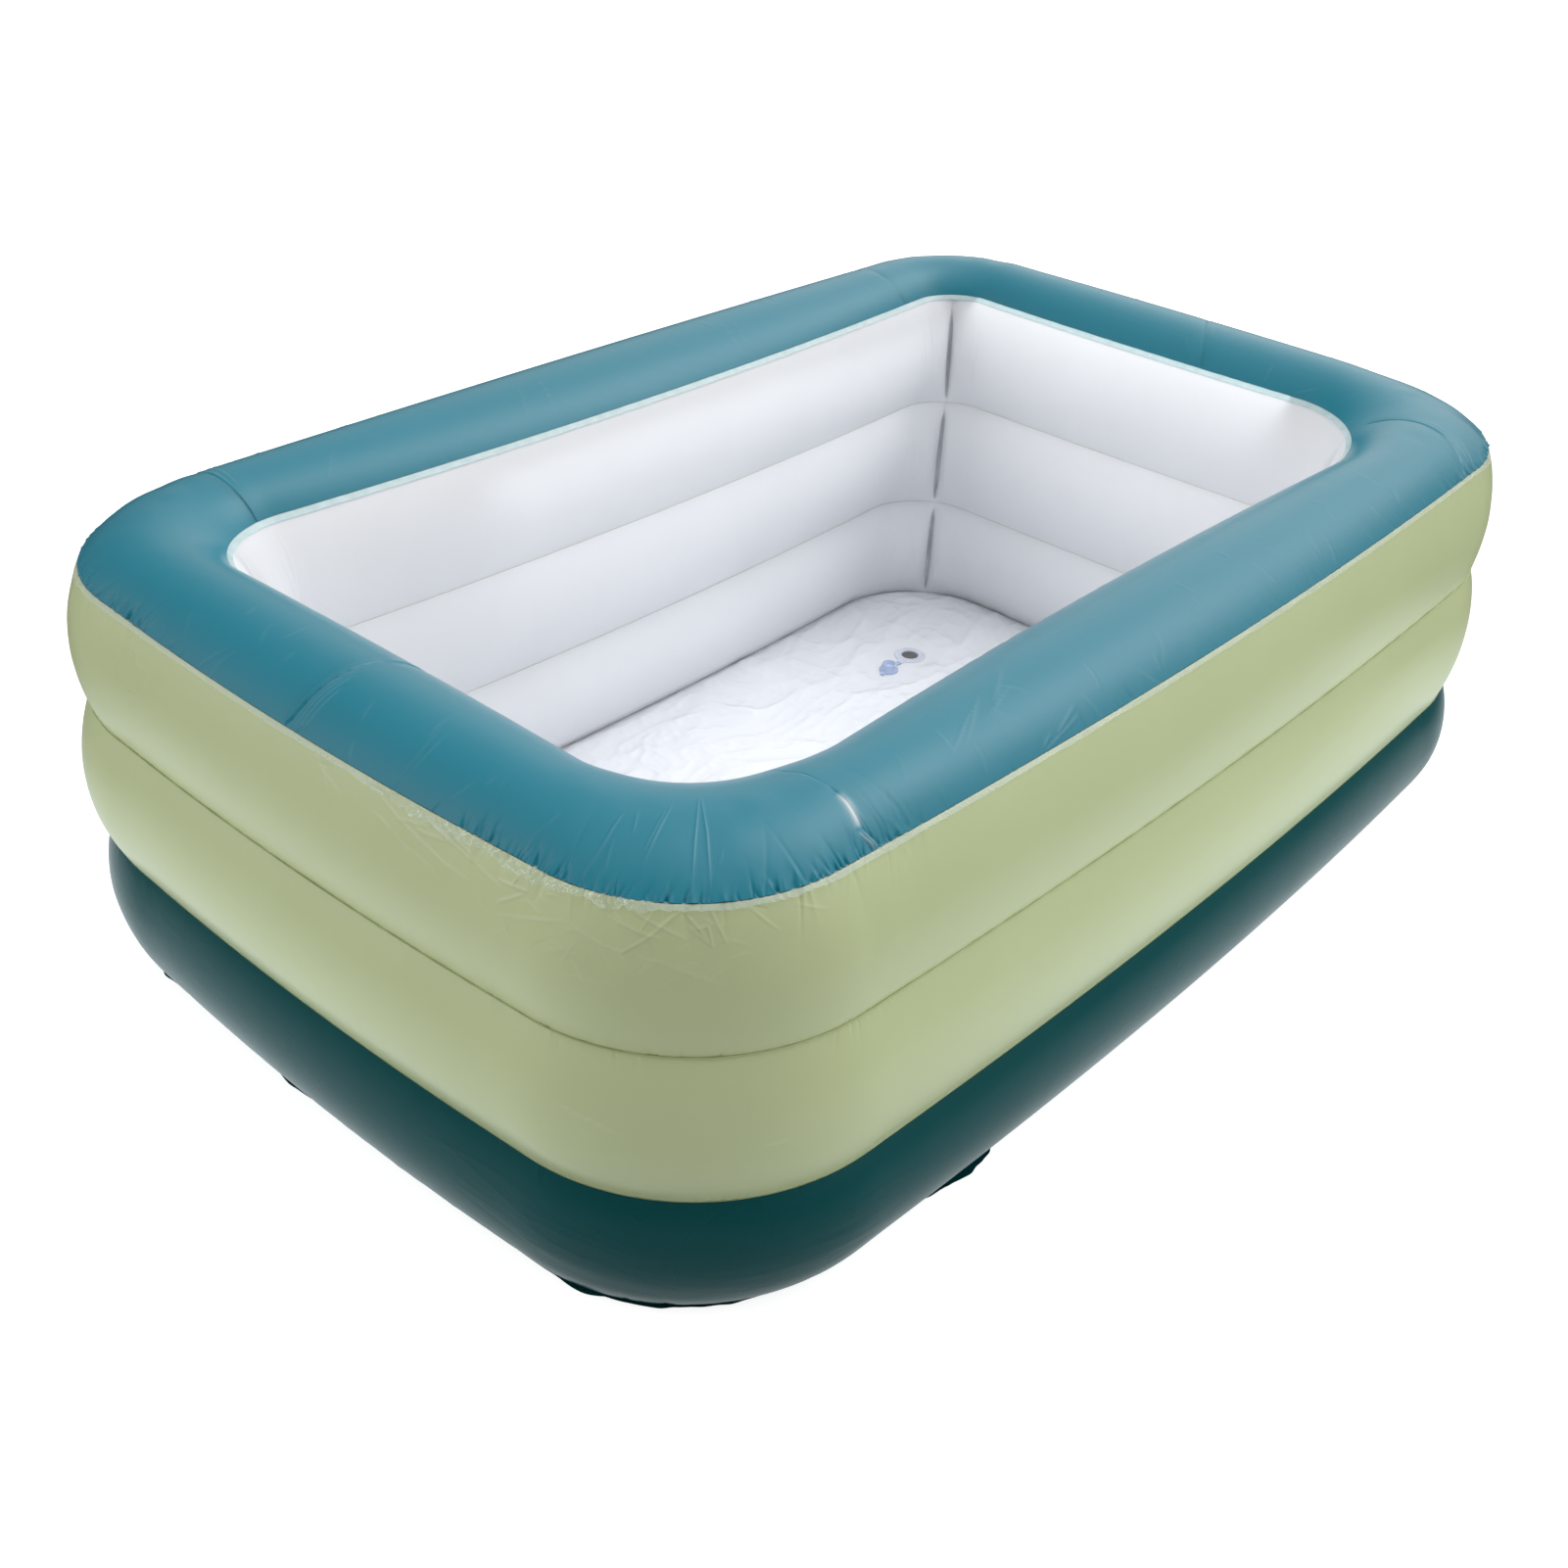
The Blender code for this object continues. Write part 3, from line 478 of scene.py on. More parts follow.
FRONT_CORNER_STREAKS_SHARES = (
    (0.8, 0.080, 0.0, 0.082, 0.15, 0.105, 0.30), (1.0, 0.235, 0.02, 0.253, 0.24, 0.263, 0.45),
    (1.0, 0.358, 0.15, 0.376, 0.36, 0.397, 0.56), (0.8, 0.353, 0.23, 0.366, 0.36, 0.382, 0.51),
    (0.7, 0.300, 0.48, 0.315, 0.32), (0.7, 0.270, 0.28, 0.280, 0.07),
    (1.0, 0.484, 0.64, 0.476, 0.32, 0.474, 0.03), (1.0, 0.492, 0.64, 0.508, 0.36, 0.516, 0.01),
    (0.7, 0.547, 0.25, 0.532, 0.17))
LEFT_RIM_STREAKS_SHARES = (
    (1.0, 0.520, 0.14, 0.517, 0.37, 0.540, 0.50), (1.0, 0.790, 0.12, 0.787, 0.26, 0.783, 0.38),
    (0.8, 0.773, 0.04, 0.777, 0.19, 0.767, 0.39))
FRONT_RIM_STREAKS_SHARES = (
    (1.0, 0.119, 0.24, 0.178, 0.47), (0.8, 0.163, 0.32, 0.212, 0.43),
    (0.8, 0.188, 0.0, 0.247, 0.08), (1.0, 0.172, 0.44, 0.147, 0.38, 0.125, 0.31, 0.100, 0.23),
    (0.8, 0.231, 0.58, 0.175, 0.34), (0.7, 0.172, 0.36, 0.176, 0.28), (0.9, 0.250, 0.14, 0.212, 0.05),
    (0.8, 0.206, 0.07, 0.188, 0.02), (0.8, 0.109, 0.41, 0.103, 0.23), (0.8, 0.209, 0.49, 0.178, 0.38))
RIGHT_RIM_STREAKS_SHARES = (
    (0.9, 0.369, 0.98, 0.415, 0.69), (0.9, 0.346, 0.98, 0.369, 0.67), (0.8, 0.323, 0.97, 0.323, 0.65),
    (0.8, 0.408, 0.97, 0.469, 0.77), (0.7, 0.200, 0.93, 0.208, 0.74), (0.7, 0.115, 0.93, 0.062, 0.83))
BACK_RIM_STREAKS_SHARES = (
    (0.7, 0.644, 0.58, 0.669, 0.89), (0.7, 0.613, 0.56, 0.631, 0.92), (0.6, 0.319, 0.58, 0.331, 0.93),
    (0.6, 0.300, 0.57, 0.312, 0.87), (0.7, 0.900, 0.59, 0.925, 0.79))

# Cross welds of the rim, from the outer seam inwards, each on a side or a corner
LEFT_WELD_SHARES = ((0.500, 0.0), (0.507, 0.05), (0.513, 0.33), (0.517, 0.46), (0.527, 0.83),
                    (0.530, 1.0))
FRONT_WELD_SHARES = ((0.965, 0.0), (0.940, 0.11), (0.947, 0.31), (0.938, 0.40))
FAINT_WELD_SHARES = ((1.0, 0.938, 0.40, 0.924, 0.56, 0.889, 0.66, 0.870, 0.85),)
GLARE_SHARES = ((1.0, 0.930, 0.13, 0.938, 0.20, 0.944, 0.27, 0.943, 0.34),)
RIGHT_WELD_SHARES = ((0.040, 0.0), (0.160, 0.33), (0.280, 0.67), (0.400, 1.0))
FAR_WELD_SHARES = ((0.500, 0.0), (0.470, 0.4), (0.420, 0.7), (0.370, 1.0))
BACK_WELD_SHARES = ((0.015, 0.0), (0.013, 0.25), (0.010, 0.55), (0.005, 1.0))
BACK_LEFT_WELD_SHARES = ((0.070, 0.0), (0.093, 0.32), (0.115, 0.60), (0.145, 1.0))

# Wrinkles of the basin's top wall, on the regions named
BASIN_CREASES_SHARES = {
    ("side", "right"): ((1.0, 0.93, 0.05, 0.82, 0.34), (0.8, 0.79, 0.38, 0.75, 0.57)),
    ("corner", "back"): ((0.9, 0.84, 0.17, 0.90, 0.74), (0.9, 0.20, 0.24, 0.05, 0.80)),
    ("corner", "right"): ((0.8, 0.89, 0.33, 0.93, 0.15), (0.8, 0.83, 0.12, 0.80, 0.35)),
    ("corner", "left"): ((0.8, 0.49, 0.05, 0.46, 0.36), (0.8, 0.12, 0.26, 0.04, 0.70))}
STOPPER_PLACE = (0.470, 0.257)

# Where the skirt shows: a region and share, how far it tapers before and after, and its reach
SKIRT_LUMPS_SHARES = (("side", "front", 0.155, 0.24, 0.09, 0.024),
                      ("corner", "front", 0.96, 0.22, 0.12, 0.006),
                      ("corner", "front", 0.50, 0.16, 0.16, 0.007),
                      ("corner", "front", 0.22, 0.05, 0.04, 0.008),
                      ("side", "left", 0.36, 0.04, 0.05, 0.005),
                      ("corner", "left", 0.85, 0.04, 0.05, 0.006))

# Where the clear strip lies flat and wide on the front side, and where it is crumpled
FLAT_STRIP_SHARES = (("corner", "front", 0.45), ("side", "front", 1.0))
LOOSE_STRIP_SHARES = (("side", "left", 0.72), ("corner", "front", 0.36))

# Creases of each sheet. Random pleats are (edge row, number, reach, width, height), and random folds
# are (rows as shares, number, length, width, height, slant in radians, pale), where pairs are the
# least and the most. A web has a region with its shares, the length beside it, and its steps. Seen
# ones have a region, a table, a width, a height and how pale they are. Pale creases are partly
# whitened film and partly painted glints
WEB_STEPS = (((0.5, 0.95), 14, (0.03, 0.09), (0.0012, 0.0022), (0.0001, 0.0002), (-0.9, 0.9)),)
FRONT_WEB_STEPS = (((0.55, 0.95), 34, (0.012, 0.04), (0.0009, 0.0012), (0.0006, 0.0012),
                    (-1.3, 1.3), 0.12),)
LEFT_WEB_STEPS = (((0.70, 0.97), 12, (0.02, 0.06), (0.0014, 0.0018), (0.0005, 0.0010),
                   (-0.5, 0.2), 0.08),)
TOP_RING_CREASES = {
    "seed": SEED + 3, "spare": 0.06, "buckle": ((0.035, 0.06), 0.0007, SEED, (0.3, 1.0)),
    "corner_steps": ((-1, 46, (0.008, 0.035), (0.0012, 0.003), (0.0005, 0.0016)),
                     (0, 24, (0.006, 0.02), (0.0015, 0.003), (0.0003, 0.0009))),
    "density": 40,
    "side_steps": ((-1, 1, (0.005, 0.018), (0.0015, 0.003), (0.0002, 0.0007)),
                   ((0.3, 0.95), 5, (0.02, 0.06), (0.0012, 0.0022), (0.00005, 0.00015),
                    (0.4, 2.6))),
    "webs": (("corner", "right", 0.0, 1.0, 0.03, WEB_STEPS),
             ("corner", "back", 0.0, 1.0, 0.03, WEB_STEPS),
             ("corner", "left", 0.0, 1.0, 0.03, WEB_STEPS),
             ("corner", "front", 0.0, 0.62, 0.0, FRONT_WEB_STEPS),
             ("side", "left", 0.55, 1.0, 0.0, LEFT_WEB_STEPS)),
    "seen": (("corner", "front", FRONT_CORNER_CREASES_SHARES, 0.0010, 0.0016, 0.16),
             ("side", "left", LEFT_SIDE_CREASES_SHARES, 0.0014, 0.0014, 0.16))}
MIDDLE_RING_CREASES = {
    "seed": SEED + 2, "spare": 0.04, "buckle": ((0.05, 0.06), 0.0004, SEED + 20, (0.0, 1.0)),
    "corner_steps": ((0, 26, (0.006, 0.022), (0.0012, 0.003), (0.0003, 0.0010)),
                     (-1, 26, (0.006, 0.022), (0.0012, 0.003), (0.0003, 0.0010)),
                     ((0.15, 0.7), 10, (0.03, 0.08), (0.0012, 0.002), (0.00008, 0.0002),
                      (-0.7, 0.5))),
    "density": 25,
    "side_steps": ((0, 1, (0.004, 0.014), (0.0015, 0.003), (0.0001, 0.0005)),
                   (-1, 1, (0.004, 0.014), (0.0015, 0.003), (0.0001, 0.0005))),
    "seen": (("corner", "front", MIDDLE_CORNER_CREASES_SHARES, 0.0014, 0.0009, 0.20),)}
BOTTOM_RING_CREASES = {
    "seed": SEED + 1, "spare": 0.05, "buckle": ((0.09, 0.025), 0.0005, SEED + 40, (0.0, 0.8)),
    "corner_steps": (((0.12, 0.8), 26, (0.05, 0.20), (0.0012, 0.0025), (0.0001, 0.0004),
                      (-0.22, 0.12)),
                     (0, 40, (0.008, 0.03), (0.002, 0.004), (0.0005, 0.0018)),
                     (-1, 20, (0.005, 0.018), (0.0015, 0.003), (0.0002, 0.0008))),
    "density": 22,
    "side_steps": ((0, 1, (0.008, 0.03), (0.003, 0.006), (0.0003, 0.0014)),)}
RIM_CREASES = {
    "seed": SEED, "spare": 0.05, "buckle": ((0.03, 0.06), 0.0008, SEED + 60, (-0.2, 0.6)),
    "corner_steps": ((0, 150, (0.005, 0.018), (0.0008, 0.0020), (0.0010, 0.0024)),
                     (0, 14, (0.03, 0.06), (0.0010, 0.0016), (0.0006, 0.0012))),
    "density": 45,
    "side_steps": ((0, 1, (0.006, 0.02), (0.0015, 0.003), (0.0003, 0.0012)),
                   ((0.02, 0.5), 2, (0.015, 0.06), (0.0012, 0.0022), (0.0003, 0.0008),
                    (0.9, 2.2), 0.05),
                   (-1, 2, (0.004, 0.012), (0.0015, 0.003), (0.0002, 0.0008))),
    "seen": (("corner", "front", FRONT_CORNER_STREAKS_SHARES, 0.0011, 0.0008, 0.03),
             ("side", "left", LEFT_RIM_STREAKS_SHARES, 0.0013, 0.0008, 0.03),
             ("side", "front", FRONT_RIM_STREAKS_SHARES, 0.0013, 0.0008, 0.07),
             ("side", "right", RIGHT_RIM_STREAKS_SHARES, 0.0013, 0.0008, 0.07),
             ("side", "back", BACK_RIM_STREAKS_SHARES, 0.0013, 0.0007, 0.06))}
BASIN_SIDE_STEPS = (
    ((0.2, 0.8), 6, (0.03, 0.09), (0.0012, 0.0022), (0.0001, 0.0003), (1.2, 1.9)),
    (0, 16, (0.005, 0.02), (0.002, 0.004), (0.0001, 0.0005)))
PLEAT_SIGNS = (-1, 0.7, -1)
PLEAT_LEANS = (-0.3, 0.3)
FOLD_BENDS = (-0.08, 0.08)
PALE_SHARES = (0.3, 1.0)
RAISED_SHARE = 0.7


def grid_mesh(name, grid, closed, material, flip=False, pale=None):
    """A smooth sheet through a grid of points, columns by rows, with a crease value on its points:
    the tint of pale creases and painted shade, and on the clear strip its crumpled share.
    """
    columns, rows = grid.shape[:2]
    index = np.arange(columns * rows).reshape(columns, rows)
    following = np.roll(index, -1, 0) if closed else index[1:]
    first = index if closed else index[:-1]
    quads = np.stack((first[:, :-1], following[:, :-1], following[:, 1:], first[:, 1:]), -1)
    quads = quads.reshape(-1, 4)
    if flip:
        quads = quads[:, ::-1]
    piece = face_mesh(name, grid.reshape(-1, 3), quads, material)
    if pale is not None:
        layer = piece.data.attributes.new("crease", "FLOAT", "POINT")
        layer.data.foreach_set("value", np.clip(pale, -1, 1).astype(np.float32).ravel())
    return piece


def face_mesh(name, points, quads, material):
    mesh = bpy.data.meshes.new(name)
    mesh.vertices.add(len(points))
    mesh.vertices.foreach_set("co", np.asarray(points, np.float32).ravel())
    mesh.loops.add(quads.size)
    mesh.loops.foreach_set("vertex_index", quads.astype(np.int32).ravel())
    mesh.polygons.add(len(quads))
    mesh.polygons.foreach_set("loop_start", np.arange(0, quads.size, 4, dtype=np.int32))
    mesh.update(calc_edges=True)
    mesh.validate()
    mesh.shade_smooth()
    mesh.materials.append(material)
    piece = bpy.data.objects.new(name, mesh)
    bpy.context.scene.collection.objects.link(piece)
    return piece


def dress(piece, body, slot, *nodes):
    """Let a piece ride on a body in place of its CAD nodes."""
    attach(piece, body)
    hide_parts(*nodes)


class Graph:
    """A tree of shader nodes."""

    def __init__(self, tree):
        self.nodes = tree.nodes
        self.links = tree.links

    def feed(self, item, inputs):
        """Give a node its inputs, each a constant or another node's output."""
        for name, value in inputs.items():
            if isinstance(value, bpy.types.NodeSocket):
                self.links.new(value, item.inputs[name])
            else:
                item.inputs[name].default_value = value

    def node(self, kind, output, inputs=(), **settings):
        """An output of a new node with these inputs and settings."""
        item = self.nodes.new("ShaderNode" + kind)
        for name, value in settings.items():
            setattr(item, name, value)
        self.feed(item, dict(inputs))
        return item.outputs[output]

    def noise(self, place, scale, detail):
        return self.node("TexNoise", "Fac", {"Vector": place, "Scale": scale, "Detail": detail})

    def ranged(self, value, source, target, interpolation="LINEAR"):
        """A value mapped from one range to another."""
        return self.node("MapRange", "Result",
                         {"Value": value, "From Min": source[0], "From Max": source[1],
                          "To Min": target[0], "To Max": target[1]},
                         interpolation_type=interpolation)

    def math(self, operation, *values):
        return self.node("Math", "Value", dict(enumerate(values)), operation=operation)

    def mixed(self, factor, start, end):
        """Between two colours, each a node's output or three channels."""
        first, second = [colour if isinstance(colour, bpy.types.NodeSocket) else (*colour, 1)
                         for colour in (start, end)]
        return self.node("Mix", "Result", {"Factor": factor, "A": first, "B": second},
                         data_type="RGBA")

    def clouded(self, cloud, colour, dimming):
        """A colour that goes a little darker in clouds."""
        return self.mixed(cloud, [channel * dimming for channel in colour], colour)

    def scaled(self, colour, share):
        return self.node("VectorMath", "Vector", {0: colour, "Scale": share}, operation="SCALE")

    def distance(self, place, centre):
        return self.node("VectorMath", "Value", {0: place, 1: centre}, operation="DISTANCE")

    def bump(self, height, distance, **normal):
        return self.node("Bump", "Normal", {"Height": height, "Distance": distance, **normal})


def new_material(name):
    """A material with its graph, its shader and the object's own coordinates."""
    material = bpy.data.materials.new(name)
    material.use_nodes = True
    graph = Graph(material.node_tree)
    return material, graph, graph.nodes["Principled BSDF"], graph.node("TexCoord", "Object")


def vinyl(name, colour, roughness, crease, coat=0.1, specular=0.45):
    """Soft PVC film: an even colour with faint clouding, satin gloss and hair-fine creases. The
    crease attribute tints it paler, partly as whitened film and partly as painted glints, and darker
    as painted shade.
    """
    material, graph, shader, place = new_material(name)
    cloud = graph.noise(place, VINYL_CLOUDS, 3.0)
    wave = graph.noise(place, VINYL_WAVES, 3.0)
    fine = graph.noise(place, VINYL_GRAIN, 2.0)
    # Crease tint: towards white above 0, partly whitened film and partly painted glints; darker below
    # 0, as painted shade
    line = graph.node("Attribute", "Fac", attribute_name="crease")
    pale = [CREASE_WHITE_AND_GLINT + (1 - CREASE_WHITE_AND_GLINT) * channel for channel in colour]
    whitened_and_glinting = graph.mixed(line, graph.clouded(cloud, colour, VINYL_CLOUD_DIMMING), pale)
    rough_range = (roughness - VINYL_UNEVENNESS, roughness + VINYL_UNEVENNESS)
    graph.feed(shader, {
        "Base Color": graph.scaled(whitened_and_glinting, graph.ranged(line, (-1, 0), (DARKEST_PAINTED_SHADE, 1))),
        "Roughness": graph.ranged(cloud, (0, 1), rough_range),
        "Specular IOR Level": specular, "Coat Weight": coat, "Coat Roughness": COAT_ROUGHNESS,
        "Normal": graph.bump(fine, GRAIN_HEIGHT, Normal=graph.bump(wave, crease))})
    return material


def clear_film(name, colour, clearness, roughness):
    """Clear PVC: part of the light passes straight through, and the rest is tinted and glossy."""
    material, graph, shader, place = new_material(name)
    cloud = graph.noise(place, FILM_CLOUDS, 2.0)
    covering = 1 - clearness
    cover_range = (covering - FILM_UNEVENNESS, covering + FILM_UNEVENNESS)
    graph.feed(shader, {"Base Color": graph.clouded(cloud, colour, FILM_CLOUD_DIMMING),
                        "Alpha": graph.ranged(cloud, (0, 1), cover_range),
                        "Roughness": roughness, "Coat Weight": FILM_COAT,
                        "Normal": graph.bump(cloud, FILM_RIPPLE)})
    return material


def crumpled_film(name, colour):
    """Clear PVC that is evenly pale where it lies flat, and elsewhere clear with pale streaks painted
    on as glints of its crumples.
    """
    material, graph, shader, place = new_material(name)
    crumple = graph.noise(place, CRUMPLES, 2.0)
    level = graph.math("ABSOLUTE", graph.math("SUBTRACT", crumple, 0.5))
    # Painted glints: pale, nearly opaque streaks along the noise's middle
    glint_streaks = graph.ranged(level, (0.0, GLINT_STREAK_WIDTH), GLINT_STREAK_COVERS, "SMOOTHSTEP")
    loose = graph.node("Attribute", "Fac", attribute_name="crease")
    graph.feed(shader, {
        "Base Color": (*colour, 1), "Roughness": CRUMPLE_ROUGHNESS, "Coat Weight": 1.0,
        "Alpha": graph.node("Mix", "Result", {"Factor": loose, "A": FLAT_COVER, "B": glint_streaks}),
        "Normal": graph.bump(crumple, CRUMPLE_HEIGHT)})
    return material


# The vinyls' noises by scale, how much they change the colour and the gloss, and their relief
VINYL_CLOUDS, VINYL_WAVES, VINYL_GRAIN, FILM_CLOUDS, CRUMPLES = 5.0, 22.0, 420.0, 60.0, 150.0
VINYL_CLOUD_DIMMING, FILM_CLOUD_DIMMING = 0.93, 0.9
VINYL_UNEVENNESS, FILM_UNEVENNESS = 0.06, 0.1
GRAIN_HEIGHT, FILM_RIPPLE, CRUMPLE_HEIGHT = 0.00003, 0.0003, 0.0008
COAT_ROUGHNESS, FILM_COAT, CRUMPLE_ROUGHNESS = 0.18, 0.4, 0.12

# A crease line's white, partly whitened film and partly painted glints, the darkest share of painted
# shade, how far the clear strip covers where flat, and the width and cover of the glint streaks
# painted on it where crumpled
CREASE_WHITE_AND_GLINT = 0.75
DARKEST_PAINTED_SHADE = 0.15
FLAT_COVER = 0.33
GLINT_STREAK_WIDTH = 0.030
GLINT_STREAK_COVERS = (0.80, 0.12)

TEAL = vinyl("teal_vinyl", (0.012, 0.220, 0.305), 0.30, 0.0004)
LIGHT_GREEN = vinyl("light_green_vinyl", (0.560, 0.637, 0.347), 0.30, 0.0003, specular=0.80)
DARK_GREEN = vinyl("dark_green_vinyl", (0.003, 0.070, 0.076), 0.28, 0.0003, 0.05, 0.14)
WHITE = vinyl("white_vinyl", (0.850, 0.862, 0.888), 0.42, 0.0002)
# The floor's white is a little paler and bluer than the walls', as painted light
FLOOR_WHITE = vinyl("floor_vinyl", (0.855, 0.870, 0.905), 0.22, 0.0006, coat=0.3)
CLEAR = crumpled_film("clear_vinyl", (0.72, 0.82, 0.80))
PALE_BLUE = clear_film("pale_blue_vinyl", (0.58, 0.76, 0.78), 0.12, 0.25)
SEAT_PLASTIC = clear_film("drain_seat_plastic", (0.85, 0.88, 0.99), 0.20, 0.20)
STOPPER_PLASTIC = clear_film("stopper_plastic", (0.62, 0.74, 0.99), 0.38, 0.12)
VALVE_PLASTIC = clear_film("valve_plastic", (0.70, 0.76, 0.84), 0.12, 0.25)

OUTER = Columns({"front": 320, "right": 130, "back": 160, "left": 300},
                {"right": 160, "back": 110, "left": 140, "front": 380})
RIM = Columns({"front": 520, "right": 220, "back": 300, "left": 420},
              {"right": 240, "back": 170, "left": 220, "front": 600})
BASIN = Columns({"front": 110, "right": 130, "back": 190, "left": 80},
                {"right": 120, "back": 200, "left": 140, "front": 90}, crowding=0.7)
RIM_OUTER = OUTER.outer((0, 0, RIM_CORNER_RADIUS))
UPPER_OUTER = OUTER.outer(UPPER_CREASE)
LOWER_OUTER = OUTER.outer(LOWER_CREASE)
BASE_OUTER = OUTER.outer(BASE_WELD)
UPPER_INNER = BASIN.inner(UPPER_INNER_WELD)
LOWER_INNER = BASIN.inner(LOWER_INNER_WELD)
FLOOR_INNER = BASIN.inner(FLOOR_WELD)
RIM_TOP_ROWS, TOP_ROWS, MIDDLE_ROWS, BOTTOM_ROWS, BASIN_ROWS = 84, 111, 81, 85, 44


def rim_inner_line(columns):
    """The rim's inner weld line, on the columns of the rim or of the basin."""
    return columns.line(*RIM_INNER_OUTSETS, RIM_INNER_CORNERS, RIM_INNER_BOWS, INNER_SMOOTHING)


def outer_wall(name, lower, lower_z, upper, upper_z, bulge, rows, material, slot, creases):
    """One ring's outer wall, from the lower weld to the upper."""
    normal = outward(lower)
    sagitta = bulge[0] * normal[:, 0] ** 2 + bulge[1] * normal[:, 1] ** 2
    side = np.column_stack((normal, np.zeros(len(normal))))
    grid = arcs(at_height(lower, lower_z), at_height(upper, upper_z), sagitta, side,
                edge_shares(rows))
    relief = Relief(grid, OUTER)
    crease_sheet(relief, **creases)
    points = relief.displaced()
    first = int(OUTER.at("side", "left", 0.5)) - OUTER.count
    last = int(OUTER.at("side", "front", 0.5))
    for part, columns, step in (("near", np.arange(first, last + 1), 1),
                                ("far", np.arange(last, first + OUTER.count + 1), 2)):
        columns %= OUTER.count
        piece = grid_mesh(name + "_" + part + "_vinyl", points[columns, ::step], False, material,
                          pale=relief.pale[columns, ::step])
        dress(piece, "root", slot, name)


# The basin's corner slits: where each wall's start, how they fade at the ends, wander, sink and
# hold painted shade, and the valley round each. Then the upright creases beside them, least and most
BOTTOM_SLITS = dict.fromkeys(CORNER_SIGNS, 0.03)
MIDDLE_SLITS = dict.fromkeys(CORNER_SIGNS, 0.05)
TOP_SLITS = {"back": 0.12, "right": 0.40, "left": 0.45, "front": 0.50}
SLIT_FADES = (0.16, 0.05)
SLIT_TOP_SHARE = 0.975
SLIT_WANDER = 0.0016
SLIT_DEPTH, SLIT_WIDTH = 0.005, 0.0010
VALLEY_DEPTH, VALLEY_WIDTH = 0.0025, 0.007
SLIT_PAINTED_SHADE, SLIT_SHADE_WIDTH = 0.25, 0.0012
BESIDE_COUNT = 26
BESIDE_REACH = (0.012, 0.11)
BESIDE_ROWS = (0.25, 0.75)
BESIDE_HALF_LENGTHS = (0.015, 0.055)
BESIDE_LEANS = (-0.004, 0.004)
BESIDE_BENDS = (-0.03, 0.03)
BESIDE_WIDTHS = (0.0011, 0.002)
BESIDE_HEIGHTS = (0.0002, 0.0006)
BASIN_CREASE_WIDTH, BASIN_CREASE_HEIGHT = 0.0016, 0.0007
# Painted shade along the bottom wall's floor seam, and its reach
FLOOR_SEAM_PAINTED_SHADE, FLOOR_SEAM_REACH = 0.2, 0.0025


def basin_wall(name, lower, lower_z, upper, upper_z, seed, slit_starts):
    """One ring's basin wall, whose neighbouring bulges press into a slit at each corner. Painted
    shade lies along each slit, and on the bottom wall along the floor seam.
    """
    normal = -outward(lower)
    side = np.column_stack((normal, np.zeros(len(normal))))
    bulge = INNER_BULGE * (1 - (1 - CORNER_FOLD_SHARE) * BASIN.folds ** CORNER_FOLD_SHARPNESS)
    grid = arcs(at_height(upper, upper_z), at_height(lower, lower_z), bulge, side,
                edge_shares(BASIN_ROWS))
    relief = Relief(grid, BASIN)
    rng = np.random.default_rng(seed)
    share = relief.across / relief.across[:, -1:]
    for corner, start in slit_starts.items():
        middle_share = 0.5 + (FAN_SETBACK_X - FAN_SETBACK_Y) / (2 * FAN_PATH) * (
            1 if SIDE_BEFORE[corner] in ("front", "back") else -1)
        middle = relief.place("corner", corner, middle_share)
        window = (smooth_step((share - start) / SLIT_FADES[0])
                  * smooth_step((SLIT_TOP_SHARE - share) / SLIT_FADES[1]))
        wander = SLIT_WANDER * lattice_noise(share * 3, share * 0, seed + len(corner))
        aside = np.abs(relief.offset(middle)[:, None] + wander)
        relief.height -= (SLIT_DEPTH * np.exp(-(aside / SLIT_WIDTH) ** 1.5)
                          + VALLEY_DEPTH * np.exp(-(aside / VALLEY_WIDTH) ** 2)) * window
        # Painted shade along the slit
        relief.pale -= SLIT_PAINTED_SHADE * np.exp(-(aside / SLIT_SHADE_WIDTH) ** 1.5) * window
        for _ in range(BESIDE_COUNT):
            u = middle + rng.choice((-1, 1)) * rng.uniform(*BESIDE_REACH)
            v = rng.uniform(*BESIDE_ROWS) * relief.width
            half = rng.uniform(*BESIDE_HALF_LENGTHS)
            relief.fold(bowed((u, v - half), (u + rng.uniform(*BESIDE_LEANS), v + half),
                              rng.uniform(*BESIDE_BENDS)),
                        rng.uniform(*BESIDE_WIDTHS),
                        rng.uniform(*BESIDE_HEIGHTS) * rng.choice((-1, 1)))
    for side_name in SIDE_BEFORE.values():
        scatter(relief, rng, relief.span("side", side_name), BASIN_SIDE_STEPS)
    if name.startswith("top"):
        for (kind, place), creases in BASIN_CREASES_SHARES.items():
            hand_folds(relief, kind, place, creases, BASIN_CREASE_WIDTH, BASIN_CREASE_HEIGHT)
    # Painted shade along the floor seam
    if name.startswith("bottom"):
        from_floor = relief.across[:, -1:] - relief.across
        relief.pale -= FLOOR_SEAM_PAINTED_SHADE * np.exp(-from_floor / FLOOR_SEAM_REACH)
    piece = grid_mesh(name + "_vinyl", relief.displaced(), True, WHITE, pale=relief.pale)
    dress(piece, "root", "white_vinyl", name)


# A cross weld's sunk line, and the dip round it: width, depth and taper of each
WELD_WIDTH, WELD_DEPTH, WELD_TAPER = 0.0014, 0.0012, 0.25
DIP_WIDTH, DIP_DEPTH, DIP_TAPER = 0.012, 0.0008, 0.3
LAP_REACH = 0.004

# Arcs beside a cross weld: how far away each starts, its share of the weld, and its height
ARC_WIDTH = 0.0013
WELD_ARCS = ((0.005, 0.8, 0.0009), (0.011, 0.6, 0.0006), (0.018, 0.7, 0.0005),
             (0.027, 0.45, 0.0005))
GLARE_ARCS = ((0.0035, 0.5, 0.0022), (0.0070, 0.5, 0.0016))


